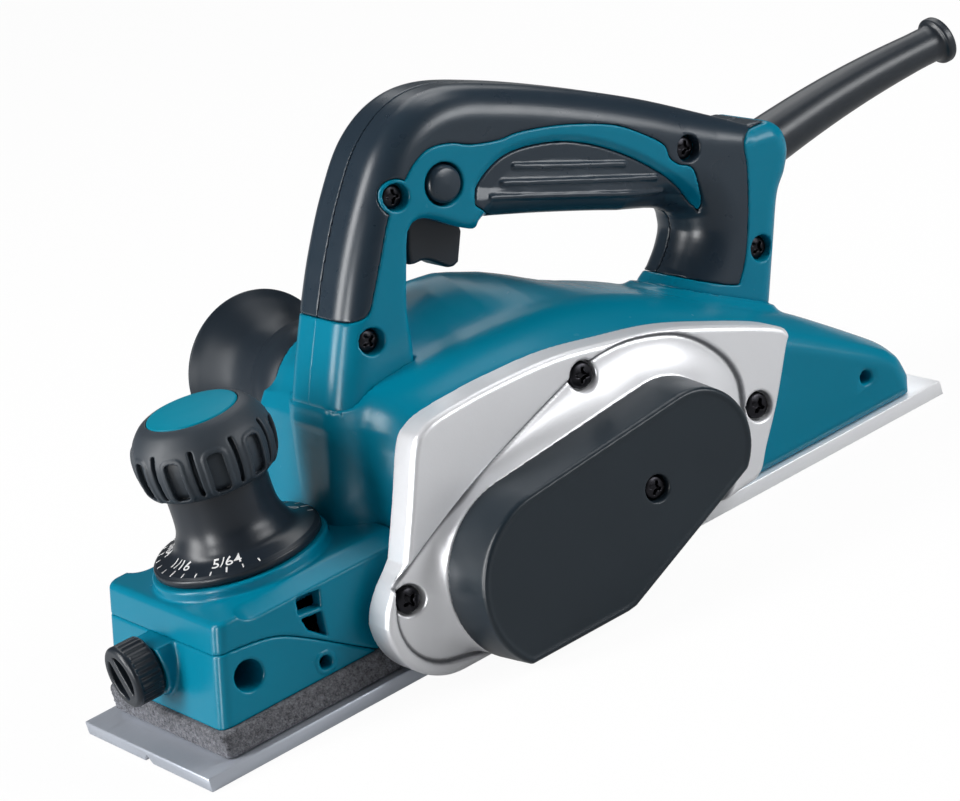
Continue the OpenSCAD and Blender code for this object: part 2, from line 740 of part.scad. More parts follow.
module handle_right() {
    // bosses under the cord clamp: where they start and end, outer radius, pilot hole
    boss_y = 2;
    boss_end = 10.5;
    boss_r = 3.2;
    pilot_r = 1.42;
    color(teal) union() {
        handle_half(0, grip_half, 0, grip_half - core_side);
        tilted() for (p = clamp_screw_at) ring_y(p[0], p[1], boss_y, boss_end, boss_r, pilot_r);
    }
}

module grip_left() {
    color(dark) grip_half_shell(-grip_half, 0, core_side - grip_half, past);
}

module grip_right() {
    color(dark) grip_half_shell(0, grip_half, -past, grip_half - core_side);
}

module handle_screws() {
    color(steel) tilted() for (p = handle_screw_at)
        slot_screw(p[0], p[1], 6.6 - grip_half, 3.5, 2.4, 1.65, 22);
}

module trigger() {
    color(dark) tilted() difference() {
        side(-trigger_w / 2, trigger_w / 2) polygon(trigger_outline);
        bar_y(trigger_pin_at[0], trigger_pin_at[1], -20, 20, 1.6 + run_fit);
    }
}

module trigger_pin() {
    color(steel) tilted() bar_y(trigger_pin_at[0], trigger_pin_at[1], -9.9, 9.9, 1.6);
}

module trigger_spring() {
    color(steel) tilted() translate([-0.5, 0, 24.1]) difference() {
        cylinder(h = 2.8, r = 2.6);
        translate([0, 0, -past]) cylinder(h = 6, r = 1.9);
    }
}

module switch_body() {
    color(black) tilted() difference() {
        translate([-2, -9, 27]) cube([30, 18, 20]);
        for (x = [6, 18]) translate([x, -10, 44]) cube([5, 20, 4]);
    }
}

module lock_button() {
    color(dark) tilted() {
        bar_y(lock_at[0], lock_at[1], -grip_half - 1.3, -12, lock_r);
        bar_y(lock_at[0], lock_at[1], -12.5, -4, 3);
    }
}

module chip_outlet() {
    // half profile: radius and distance along the outlet
    reach = outlet_end - outlet_boss_y;
    lip = 1.8;
    color(dark) translate([outlet_x, outlet_boss_y, outlet_z]) rotate([-90, 0, 0]) rotate_extrude()
        polygon(concat(
            [[outlet_r, -7], [outlet_r + 2, -7], [outlet_r + 2, 0], [outlet_r + 5.5, 0], [outlet_r + 5.5, 2.4]],
            smooth([[outlet_r + 2.6, 4], [outlet_r + 2.8, 10], [outlet_r + 4.4, reach - 14],
                [outlet_rim_r - 3, reach - 5], [outlet_rim_r, reach - 1]], 3),
            [[outlet_rim_r, reach], [outlet_rim_r - lip, reach]],
            smooth([[outlet_rim_r - 5, reach - 5.5], [outlet_r + 1.6, reach - 12], [outlet_r, reach - 18]], 3)));
}

module cord_guard() {
    // bead at the end, flange held in the handle
    bead_r = 7.7;
    bead_w = 5;
    color(black) guard_frame() rotate_extrude() polygon(concat(
        [[cord_r, -7.9], [guard_r + 2.4, -7.9], [guard_r + 2.4, -4], [guard_r, -4], [guard_r, 8]],
        [[guard_end_r + 0.4, guard_len - 12], [guard_end_r, guard_len - bead_w - 1]],
        arc([bead_r - 1.6, guard_len - bead_w + 1], 1.6, -90, 0, 4),
        arc([bead_r - 1.6, guard_len - 1.6], 1.6, 0, 90, 4),
        [[cord_r, guard_len]]));
}

module cord_clamp() {
    color(black) tilted() difference() {
        translate([97, -1, 23]) cube([6, 2.9, 20]);
        for (p = clamp_screw_at) bar_y(p[0], p[1], -5, 5, 1.6);
    }
}

module clamp_screws() {
    color(steel) tilted() for (p = clamp_screw_at) slot_screw(p[0], p[1], -3.1, 2.6, 2, 1.4, 12);
}

module motor_cap() {
    seat_r = end_bearing_r + 2.4;
    color(teal) difference() {
        union() {
            bar_y(motor_x, motor_z, bulge_end, bulge_end + 3.5, bulge_r);
            bar_y(motor_x, motor_z, bulge_end, bulge_end + motor_cap_t, seat_r);
            for (a = [45:90:315])
                bar_y(motor_x + ear_at * cos(a), motor_z + ear_at * sin(a), bulge_end, bulge_end + 3.5, ear_r);
        }
        bar_y(motor_x, motor_z, bulge_end - past, bulge_end + 0.3 + end_bearing_w, end_bearing_r + seat_fit);
        for (a = [0:30:330]) translate([motor_x, bulge_end - past, motor_z]) rotate([0, a + 15, 0])
            translate([seat_r + 1.5, 0, -1.5]) cube([bulge_r - seat_r - 4, 10, 3]);
        for (a = [45:90:315])
            bar_y(motor_x + ear_at * cos(a), motor_z + ear_at * sin(a), bulge_end - past, bulge_end + 9, 1.7);
    }
}

module motor_cap_screws() {
    // height of the head face above the cap's seat, sizes of the screw
    head_up = 5.7;
    head_r = 3.2;
    head_h = 2.2;
    shank_r = 1.45;
    reach = 13;
    color(steel) for (a = [45:90:315])
        mirror([0, 1, 0]) slot_screw(motor_x + ear_at * cos(a), motor_z + ear_at * sin(a),
            -bulge_end - head_up, head_r, head_h, shank_r, reach);
}

module stator() {
    color(steel) ring_y(motor_x, motor_z, core_y0, core_y1, motor_bay_r - 0.1, core_r + 0.6);
}

module field_coils() {
    // inner and outer radius of the coil ends
    coil_in = core_r + 1.2;
    coil_out = motor_bay_r - 2.5;
    color(copper) {
        ring_y(motor_x, motor_z, core_y0 - coil_w, core_y0, coil_out, coil_in);
        ring_y(motor_x, motor_z, core_y1, core_y1 + coil_w, coil_out, coil_in);
    }
}

module armature_shaft() {
    color(steel) bar_y(motor_x, motor_z, pulley_y0, bulge_end + end_bearing_w, shaft_r);
}

module armature_core() {
    slots = 12;
    color(steel) difference() {
        bar_y(motor_x, motor_z, core_y0, core_y1, core_r);
        bar_y(motor_x, motor_z, core_y0 - past, core_y1 + past, shaft_r);
        for (i = [1:slots]) translate([motor_x, core_y0 - past, motor_z]) rotate([0, 360 / slots * i, 0])
            translate([core_r - 4, 0, -1]) cube([8, core_len + 2 * past, 2]);
    }
}

module armature_windings() {
    end_r = core_r - 2.5;
    color(copper) {
        ring_y(motor_x, motor_z, core_y0 - 5, core_y0, end_r, shaft_r);
        ring_y(motor_x, motor_z, core_y1, core_y1 + 7, end_r, shaft_r);
    }
}

module commutator() {
    bars = 12;
    color(copper) difference() {
        ring_y(motor_x, motor_z, comm_y0, comm_y1, commutator_r, shaft_r);
        for (i = [1:bars]) translate([motor_x, comm_y0 - past, motor_z]) rotate([0, 360 / bars * i, 0])
            translate([commutator_r - 0.8, 0, -0.3]) cube([3, 20, 0.6]);
    }
}

module fan() {
    blades_n = 9;
    color(dark) difference() {
        union() {
            bar_y(motor_x, motor_z, fan_y, fan_y + 1.8, fan_r);
            bar_y(motor_x, motor_z, fan_y, fan_y + fan_w, shaft_r + 3.5);
            for (i = [1:blades_n]) translate([motor_x, fan_y, motor_z]) rotate([0, 360 / blades_n * i + 7, 0])
                translate([shaft_r + 2, past, -0.8]) cube([fan_r - shaft_r - 3, fan_w - past - 0.5, 1.6]);
        }
        bar_y(motor_x, motor_z, fan_y - past, fan_y + fan_w + past, shaft_r);
    }
}

module fan_baffle() {
    color(black) ring_y(motor_x, motor_z, baffle_y, baffle_y + baffle_t, motor_bay_r - 0.05, core_r + 1.5);
}

// pulley with grooves for a ribbed belt
module pulley(x, z, r, hole_r) {
    difference() {
        bar_y(x, z, pulley_y0, pulley_y1, r);
        bar_y(x, z, pulley_y0 - past, pulley_y1 + past, hole_r);
        for (i = [1:4]) ring_y(x, z, pulley_y0 + i * belt_w / 5, pulley_y0 + i * belt_w / 5 + 0.8, r + past, r - 0.8);
    }
}

module motor_pulley() {
    color(steel) pulley(motor_x, motor_z, motor_pulley_r, shaft_r);
}

// ball bearing as one ring with its groove
module bearing(x, z, y0, y1, r_out, r_in) {
    mid = (r_out + r_in) / 2;
    difference() {
        ring_y(x, z, y0, y1, r_out, r_in);
        ring_y(x, z, y0 - past, y0 + 0.5, mid + 1.4, mid - 1.4);
        ring_y(x, z, y1 - 0.5, y1 + past, mid + 1.4, mid - 1.4);
    }
}

module motor_bearings() {
    color(steel) {
        bearing(motor_x, motor_z, frame_back - 8.1, frame_back - 0.2, motor_bearing_r, shaft_r + run_fit);
        bearing(motor_x, motor_z, bulge_end + 0.3, bulge_end + 0.2 + end_bearing_w, end_bearing_r, shaft_r + run_fit);
    }
}

module brush_holders() {
    inner = commutator_r + 2;
    color(brass) for (m = [0, 1]) translate([motor_x, brush_y, motor_z]) mirror([m, 0, 0]) difference() {
        bar_x(0, 0, inner, brush_reach - 4, brush_hole_r - 0.05);
        translate([0, -brush_side / 2 - 0.1, -brush_side / 2 - 0.1])
            cube([60, brush_side + 0.2, brush_side + 0.2]);
    }
}

module carbon_brushes() {
    color(black) for (m = [0, 1]) translate([motor_x, brush_y, motor_z]) mirror([m, 0, 0])
        translate([commutator_r + 0.3, -brush_side / 2, -brush_side / 2]) cube([14, brush_side, brush_side]);
}

module brush_caps() {
    color(black) for (m = [0, 1]) translate([motor_x, brush_y, motor_z]) mirror([m, 0, 0]) difference() {
        union() {
            bar_x(0, 0, brush_reach - 3.8, brush_reach + 1.5, brush_hole_r - 0.05);
            bar_x(0, 0, brush_reach, brush_reach + 1.5, brush_hole_r + brush_lip);
        }
        translate([brush_reach + 0.6, -4.5, -0.6]) cube([3, 9, 1.2]);
    }
}

// room behind one blade, with its clamp and chip gullet
pocket_x = 11.9;
clamp_top = 8;
bolt_x = 16;
bolt_y = [-26, 0, 26];

module cutter_drum() {
    color(steel) difference() {
        union() {
            bar_y(0, drum_z, -drum_half, drum_half, drum_r);
            bar_y(0, drum_z, frame_back - 9, -drum_half + past, drum_shaft_r);
            bar_y(0, drum_z, pulley_y0 - 1.4, -drum_half, drum_shaft_r - 1);
            bar_y(0, drum_z, drum_half - past, wall_y + 3.6, drum_stub_r);
        }
        for (i = [0, 1]) blade_frame(i) {
            translate([pocket_x, -half_w, -blade_t - 0.05]) cube([20, sole_w, 30]);
            for (y = bolt_y) translate([bolt_x, y, -9]) cylinder(h = 12, r = 2);
        }
    }
}

module blades() {
    tip = sqrt(cut_r * cut_r - blade_t * blade_t) - 0.02;
    color(silver) for (i = [0, 1]) blade_frame(i) difference() {
        translate([pocket_x + 0.05, -drum_half, -blade_t]) cube([tip - pocket_x - 0.05, 2 * drum_half, blade_t]);
        for (y = bolt_y) translate([bolt_x, y, -9]) cylinder(h = 12, r = 2);
    }
}

module blade_clamps() {
    color(steel) for (i = [0, 1]) blade_frame(i) difference() {
        translate([pocket_x + 0.05, -drum_half, 0]) cube([9, 2 * drum_half, clamp_top]);
        for (y = bolt_y) translate([bolt_x, y, -past]) cylinder(h = 12, r = 2);
        translate([21.4, -half_w, 4]) rotate([0, -45, 0]) cube([10, sole_w, 10]);
    }
}

module blade_bolts() {
    color(steel) for (i = [0, 1]) blade_frame(i) for (y = bolt_y) translate([bolt_x, y, -8]) {
        cylinder(h = clamp_top + 8, r = 1.95);
        translate([0, 0, clamp_top + 8]) cylinder(h = 2.6, r = 3.4, $fn = 6);
    }
}

module drum_pulley() {
    color(steel) pulley(0, drum_z, drum_pulley_r, drum_shaft_r - 1);
}

module drum_pulley_nut() {
    color(steel) difference() {
        translate([0, pulley_y0, drum_z]) rotate([90, 0, 0]) cylinder(h = 1.8, r = 10, $fn = 6);
        bar_y(0, drum_z, pulley_y0 - 5, pulley_y0 + past, drum_shaft_r - 1);
    }
}

module drum_bearings() {
    color(steel) {
        bearing(0, drum_z, frame_back - 9.1, frame_back - 0.2, drum_bearing_r, drum_shaft_r + run_fit);
        bearing(0, drum_z, wall_y + 0.2, wall_y + 3.7, stub_bearing_r, drum_stub_r + run_fit);
    }
}

// distance between the two axes, slope of their line, angle of the belt's last touch
span = sqrt(motor_x * motor_x + (motor_z - drum_z) * (motor_z - drum_z));
belt_slope = atan2(motor_z - drum_z, motor_x);
belt_lean = acos((drum_pulley_r - motor_pulley_r) / span);

// outline of a belt round both pulleys at the distance d from them
function belt_outline(d) = concat(
    arc([0, 0], drum_pulley_r + d, belt_lean, 360 - belt_lean, 24),
    arc([span, 0], motor_pulley_r + d, -belt_lean, belt_lean, 20));

module drive_belt() {
    color(black) side(pulley_y0 + 0.7, pulley_y0 + 0.7 + belt_w)
        translate([0, drum_z]) rotate(belt_slope) difference() {
            polygon(belt_outline(belt_t));
            polygon(belt_outline(0.1));
        }
}

module scale_dial() {
    color(black) translate([-knob_x, 0, dial_z]) rotate_extrude() polygon(concat(
        [[depth_screw_r, 0], [dial_r, 0], [dial_r, 2.4]],
        smooth([[dial_r - 1, 3.2], [dial_r - 6.5, 5], [neck_r + 3, 8.6], [neck_r, 14], [neck_r, dial_h]], 3),
        [[depth_screw_r, dial_h]]));
}

module knob_cap() {
    // pads and slits round the rim
    pads = 10;
    pad_depth = 1.2;
    color(dark) translate([-knob_x, 0, cap_z]) difference() {
        rotate_extrude() polygon(concat(
            [[depth_screw_r, 0], [cap_r - 2, 0], [cap_r, 2.4], [cap_r, cap_h - 8]],
            smooth([[cap_r - 0.5, cap_h - 6.5], [cap_r - 3, cap_h - 3], [cap_r - 6.5, cap_h - 1.2], [disc_r + 0.7, cap_h - 0.6]], 3),
            [[disc_r + 0.1, cap_h - 0.6], [disc_r + 0.1, cap_h - 4], [depth_screw_r, cap_h - 4]]));
        for (i = [1:pads]) rotate(360 / pads * i) {
            translate([cap_r - pad_depth, -4, 3.6]) cube([5, 8, cap_h - 12]);
            rotate(180 / pads) translate([cap_r - 2.5, -0.8, -past]) cube([5, 1.6, cap_h - 4]);
        }
    }
}

module knob_disc() {
    color(teal) translate([-knob_x, 0, knob_top - 4]) cylinder(h = 4, r = disc_r);
}

module depth_screw() {
    flange_r = 10;
    color(steel) translate([-knob_x, 0, 0]) {
        translate([0, 0, 9.6]) cylinder(h = knob_top - 4 - 9.6, r = depth_screw_r);
        translate([0, 0, block_bay_top - 3.4]) cylinder(h = 3.2, r = flange_r);
    }
}

module depth_spring() {
    color(steel) translate([-knob_x, 0, plate_t + 0.1]) difference() {
        cylinder(h = block_bay_top - plate_t - 0.2, r = 14.4);
        translate([0, 0, -past]) cylinder(h = 60, r = 12.2);
    }
}

module thumb_screw() {
    ribs = 20;
    color(black) difference() {
        union() {
            bar_x(0, thumb_z, thumb_x - thumb_len, thumb_x, thumb_r);
            bar_x(0, thumb_z, thumb_x - past, rod_x - rod_r - 0.4, 4);
        }
        for (i = [1:ribs]) translate([thumb_x - thumb_len - past, 0, thumb_z]) rotate([360 / ribs * i, 0, 0])
            translate([0, thumb_r - 0.8, -0.7]) cube([thumb_len - 1, 3, 1.4]);
        translate([thumb_x - thumb_len - past, -thumb_r * 0.65, thumb_z - 1.2]) cube([3.2, thumb_r * 1.3, 2.4]);
    }
}

// every piece in its place on the sole
module placed() {
    translate([drum_x, 0, 0]) children();
}

placed() rear_base();
placed() base_screws();
placed() front_base();
placed() foam_seal();
placed() front_housing();
placed() block_screws();
placed() main_housing();
placed() side_frame();
placed() frame_screws();
placed() belt_cover();
placed() belt_cover_screw();
placed() handle_left();
placed() handle_right();
placed() grip_left();
placed() grip_right();
placed() handle_screws();
placed() trigger();
placed() trigger_pin();
placed() trigger_spring();
placed() switch_body();
placed() lock_button();
placed() chip_outlet();
placed() cord_guard();
placed() cord_clamp();
placed() clamp_screws();
placed() motor_cap();
placed() motor_cap_screws();
placed() stator();
placed() field_coils();
placed() armature_shaft();
placed() armature_core();
placed() armature_windings();
placed() commutator();
placed() fan();
placed() fan_baffle();
placed() motor_pulley();
placed() motor_bearings();
placed() brush_holders();
placed() carbon_brushes();
placed() brush_caps();
placed() cutter_drum();
placed() drum_pulley();
placed() drum_pulley_nut();
placed() blades();
placed() blade_clamps();
placed() blade_bolts();
placed() drum_bearings();
placed() drive_belt();
placed() scale_dial();
placed() knob_cap();
placed() knob_disc();
placed() depth_screw();
placed() depth_spring();
placed() thumb_screw();
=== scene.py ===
import json
from functools import reduce
from math import atan2, cos, pi, radians, sin, tau

import bmesh
import bpy
import numpy as np
from mathutils import Matrix, Vector


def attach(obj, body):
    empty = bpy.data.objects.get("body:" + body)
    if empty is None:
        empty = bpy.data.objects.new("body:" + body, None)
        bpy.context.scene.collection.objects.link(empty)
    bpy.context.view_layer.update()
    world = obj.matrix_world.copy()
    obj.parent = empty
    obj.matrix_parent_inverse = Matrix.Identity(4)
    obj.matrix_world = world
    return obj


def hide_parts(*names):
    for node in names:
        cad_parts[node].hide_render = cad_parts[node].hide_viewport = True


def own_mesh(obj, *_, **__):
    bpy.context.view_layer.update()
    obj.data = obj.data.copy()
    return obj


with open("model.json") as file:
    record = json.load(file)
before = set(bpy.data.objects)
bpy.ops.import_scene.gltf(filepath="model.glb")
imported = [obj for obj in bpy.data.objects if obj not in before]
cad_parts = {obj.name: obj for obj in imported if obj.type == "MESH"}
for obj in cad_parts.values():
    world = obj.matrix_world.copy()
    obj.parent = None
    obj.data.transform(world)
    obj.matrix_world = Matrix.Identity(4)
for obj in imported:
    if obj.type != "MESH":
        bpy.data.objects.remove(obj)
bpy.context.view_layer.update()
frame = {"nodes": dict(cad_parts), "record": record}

record = frame["record"]
joints = {j["name"]: j for j in record["behaviour"]["joints"]}
slotOf = {p["node"]: p["material_slot"] for p in record["subparts"]}
bodyOf = {n: body for body, nodes in record["behaviour"]["bodies"].items() for n in nodes}
drumX, _, drumZ = [1000 * v for v in joints["drum_spin"]["pos_m"]]  # mm
motorX, _, motorZ = [1000 * v for v in joints["rotor_spin"]["pos_m"]]
motorX = motorX - drumX  # lengths along the tool count from the drum axis
knobX = 1000 * joints["depth_turn"]["pos_m"][0] - drumX
baseTravel = 1000 * joints["front_base_slide"]["range_m"][1]


# Shader maths

class Wire:
    def __init__(self, finish, socket):
        self.finish, self.socket = finish, socket

    def maths(self, operation, first, second):
        return self.finish.add("ShaderNodeMath", {"operation": operation}, {0: first, 1: second})

    def __add__(self, other):
        return self.maths("ADD", self, other)

    __radd__ = __add__

    def __mul__(self, other):
        return self.maths("MULTIPLY", self, other)


class Finish:
    def __init__(self, name):
        self.material = bpy.data.materials.new(name)
        self.material.use_nodes = True
        self.tree = self.material.node_tree
        self.shader = self.tree.nodes["Principled BSDF"]
        self.place = self.add("ShaderNodeTexCoord", {}, {}, "Object")

    def feed(self, socket, value):
        if isinstance(value, Wire):
            self.tree.links.new(value.socket, socket)
        else:
            socket.default_value = value

    def add(self, kind, settings, sockets, output=0):
        made = self.tree.nodes.new(kind)
        for key, value in settings.items():
            setattr(made, key, value)
        for key, value in sockets.items():
            self.feed(made.inputs[key], value)
        return Wire(self, made.outputs[output])

    def grain(self, scale, detail=2.0, stretch=(1, 1, 1), rough=0.5):
        spot = self.place
        if stretch != (1, 1, 1):
            spot = self.add("ShaderNodeMapping", {}, {"Vector": self.place, "Scale": stretch})
        return self.add("ShaderNodeTexNoise", {},
                        {"Vector": spot, "Scale": scale, "Detail": detail, "Roughness": rough}, "Fac")

    def between(self, mask, first, second):
        first, second = [end if isinstance(end, Wire) else (*end, 1) for end in (first, second)]
        return self.add("ShaderNodeMix", {"data_type": "RGBA"}, {"Factor": mask, 6: first, 7: second}, 2)

    def ramp(self, value, low, high):  # 0 below low, 1 above high
        return self.add("ShaderNodeMapRange", {}, {"Value": value, "From Min": low, "From Max": high})

    def bump(self, height, strength, depth):
        return self.add("ShaderNodeBump", {}, {"Height": height, "Strength": strength, "Distance": depth})

    def set(self, **sockets):
        for key, value in sockets.items():
            self.feed(self.shader.inputs[socketNames[key]], value)
        return self.material


socketNames = {"baseColor": "Base Color", "roughness": "Roughness", "metallic": "Metallic",
               "normal": "Normal", "specular": "Specular IOR Level"}


def mouldedPlastic(name, colour, deep, roughness, texture=0.05, shine=0.2):
    f = Finish(name)
    cloud = f.grain(35, 3)
    fine = f.grain(2600, 2)
    gloss = f.grain(160, 3)
    return f.set(baseColor=f.between(f.ramp(cloud, 0.3, 0.7), deep, colour),
                 roughness=roughness - 0.05 + gloss * 0.1,
                 normal=f.bump(fine, texture, 0.0002), specular=shine)


def castMetal(name, colour, shade, roughness, grainScale, stretch=(1, 1, 1), metallic=1.0, texture=0.12,
              grooveShade=None):
    f = Finish(name)
    cloud = f.grain(28, 4)
    fine = f.grain(grainScale, 3, stretch)
    tint = f.between(f.ramp(cloud, 0.25, 0.75), shade, colour)
    if grooveShade:  # painted shade that darkens the dish's groove line
        tint = f.between(f.add("ShaderNodeAttribute", {"attribute_name": "groove"}, {}, "Fac"), tint, grooveShade)
    return f.set(baseColor=tint, metallic=metallic,
                 roughness=f.ramp(fine, 0.2, 0.8) * 0.14 + (roughness - 0.07),
                 normal=f.bump(fine, texture, 0.0002))


def speckledFelt(name, pale, dark):
    f = Finish(name)
    fibre = f.grain(1500, 4, rough=0.7)
    clump = f.grain(600, 3)
    mask = f.ramp(fibre * 0.65 + clump * 0.35, 0.36, 0.64)
    return f.set(baseColor=f.between(mask, dark, pale), roughness=1.0, specular=0.1,
                 normal=f.bump(fibre, 0.8, 0.0007))


def woundWire(name, colour, dark):
    f = Finish(name)
    turns = f.add("ShaderNodeTexWave", {"bands_direction": "Y"},
                  {"Vector": f.place, "Scale": 320, "Distortion": 1.0}, "Fac")
    return f.set(baseColor=f.between(turns, dark, colour), metallic=0.9, roughness=0.35,
                 normal=f.bump(turns, 0.5, 0.0003))


def cutRubber(name, colour, deep, roughness):
    f = Finish(name)
    dust = f.grain(420, 4)
    fine = f.grain(1900, 2)
    return f.set(baseColor=f.between(f.ramp(dust, 0.3, 0.75), deep, colour),
                 roughness=roughness - 0.06 + dust * 0.12, normal=f.bump(fine, 0.1, 0.0002), specular=0.45)


milled = (0.06, 1, 1)  # the grain of the soles runs lengthwise
finishes = {
    "housing": mouldedPlastic("teal_housing", (0.0, 0.215, 0.335), (0.0, 0.203, 0.318), 0.25, 0.03),
    "soft_grip": mouldedPlastic("dark_grip", (0.019, 0.034, 0.051), (0.016, 0.029, 0.045), 0.29, 0.06, 0.42),
    "black_plastic": mouldedPlastic("black_plastic", (0.015, 0.021, 0.03), (0.012, 0.018, 0.026), 0.32,
                                    shine=0.35),
    "outlet_plastic": mouldedPlastic("outlet_plastic", (0.022, 0.031, 0.042), (0.018, 0.026, 0.036), 0.36,
                                     0.04, 0.12),
    "cover_black": mouldedPlastic("cover_black", (0.014, 0.024, 0.034), (0.012, 0.021, 0.03), 0.32, 0.07,
                                  0.35),
    "guard_rubber": cutRubber("guard_rubber", (0.018, 0.024, 0.033), (0.014, 0.02, 0.028), 0.34),
    "belt_rubber": cutRubber("belt_rubber", (0.02, 0.02, 0.02), (0.012, 0.012, 0.012), 0.7),
    # the cast frame gets painted shade along its groove
    "cast_frame": castMetal("cast_frame", (0.86, 0.87, 0.90), (0.81, 0.82, 0.85), 0.36, 1500, metallic=0.35,
                            grooveShade=(0.16, 0.165, 0.18)),
    "base_metal": castMetal("base_metal", (0.5, 0.535, 0.6), (0.45, 0.485, 0.55), 0.4, 700, milled, 0.55),
    "drum_alloy": castMetal("drum_alloy", (0.62, 0.63, 0.65), (0.55, 0.56, 0.58), 0.3, 800, (1, 0.05, 1)),
    "steel": castMetal("plated_steel", (0.6, 0.6, 0.62), (0.5, 0.5, 0.52), 0.28, 900),
    "black_steel": castMetal("black_steel", (0.03, 0.03, 0.034), (0.02, 0.02, 0.024), 0.34, 900),
    "core_steel": castMetal("core_steel", (0.4, 0.4, 0.42), (0.3, 0.3, 0.32), 0.45, 1600, (0.02, 1, 0.02)),
    "copper": woundWire("copper_wire", (0.72, 0.34, 0.16), (0.32, 0.12, 0.05)),
    "brass": castMetal("brass", (0.78, 0.58, 0.25), (0.66, 0.47, 0.18), 0.3, 900),
    "carbon": cutRubber("carbon", (0.03, 0.03, 0.03), (0.018, 0.018, 0.018), 0.6),
    "felt": speckledFelt("felt", (0.27, 0.275, 0.30), (0.06, 0.062, 0.07)),
}
knobSoft = mouldedPlastic("knob_grip", (0.034, 0.045, 0.058), (0.028, 0.038, 0.05), 0.48, 0.08, 0.3)
discPlastic = mouldedPlastic("knob_teal", (0.0, 0.235, 0.345), (0.0, 0.222, 0.328), 0.42, 0.03, 0.06)
whitePrint = mouldedPlastic("white_print", (0.85, 0.85, 0.85), (0.78, 0.78, 0.78), 0.5)
rearMetal = castMetal("rear_metal", (0.95, 0.96, 0.98), (0.91, 0.92, 0.95), 0.34, 700, milled, 0.35, 0.03)
for node, obj in frame["nodes"].items():
    obj.data.materials.clear()
    obj.data.materials.append(finishes[slotOf[node]])
print("finishes:", len(bpy.data.materials))


# Solid fields: every field is a distance in mm, below zero inside the material

def roundMax(a, b, r):  # what two fields share, with a round outer edge
    return np.minimum(np.maximum(a, b), -r) + np.hypot(np.maximum(a + r, 0), np.maximum(b + r, 0))


def roundMin(a, b, r):  # both fields, with a round inner corner
    return np.maximum(np.minimum(a, b), r) - np.hypot(np.maximum(r - a, 0), np.maximum(r - b, 0))


def curveThrough(points, steps):
    p = [np.array(q, float) for q in points]
    made = []
    for i in range(len(p) - 1):
        a, b, c, d = p[max(i - 1, 0)], p[i], p[i + 1], p[min(i + 2, len(p) - 1)]
        for k in range(steps):
            t = k / steps
            made.append((2 * b + (c - a) * t + (2 * a - 5 * b + 4 * c - d) * t ** 2
                         + (3 * b - a - 3 * c + d) * t ** 3) / 2)
    return [tuple(q) for q in made + [p[-1]]]


def arcRound(centre, radius, start, end, steps):
    turns = [radians(start + (end - start) * i / steps) for i in range(steps + 1)]
    return [(centre[0] + radius * cos(a), centre[1] + radius * sin(a)) for a in turns]


def outlineField(points, a, b):  # signed distance to a closed outline
    best = np.full(np.broadcast(a, b).shape, 1e9, np.float32)
    inside = np.zeros(best.shape, bool)
    for (a0, b0), (a1, b1) in zip(points, points[1:] + points[:1]):
        ea, eb = a1 - a0, b1 - b0
        if ea == 0 and eb == 0:
            continue
        t = np.clip(((a - a0) * ea + (b - b0) * eb) / (ea * ea + eb * eb), 0, 1)
        best = np.minimum(best, (a - a0 - t * ea) ** 2 + (b - b0 - t * eb) ** 2)
        if eb != 0:
            inside ^= ((b0 <= b) != (b1 <= b)) & (a < a0 + (b - b0) * ea / eb)
    return np.where(inside, -np.sqrt(best), np.sqrt(best)).astype(np.float32)


def lineField(start, end, a, b):
    ea, eb = end[0] - start[0], end[1] - start[1]
    t = np.clip(((a - start[0]) * ea + (b - start[1]) * eb) / (ea * ea + eb * eb), 0, 1)
    return np.hypot(a - start[0] - t * ea, b - start[1] - t * eb)


def allOf(*fields):  # what the fields share
    return reduce(np.maximum, fields)


def anyOf(*fields):
    return reduce(np.minimum, fields)


def between(value, low, high):  # a slab
    return np.maximum(low - value, value - high)


def bore(a, b, spot):  # a round rod or hole seen along its axis
    return np.hypot(a - spot[0], b - spot[1]) - spot[2]


def boxField(spots, low, high):
    return allOf(*(between(value, a, b) for value, a, b in zip(spots, low, high)))


def sampled(grid):  # the axes of a grid, which is its low corner, high corner and cell
    low, high, cell = grid
    axes = [np.arange(a, b + cell, cell, dtype=np.float32) for a, b in zip(low, high)]
    return axes[0][:, None, None], axes[1][None, :, None], axes[2][None, None, :]


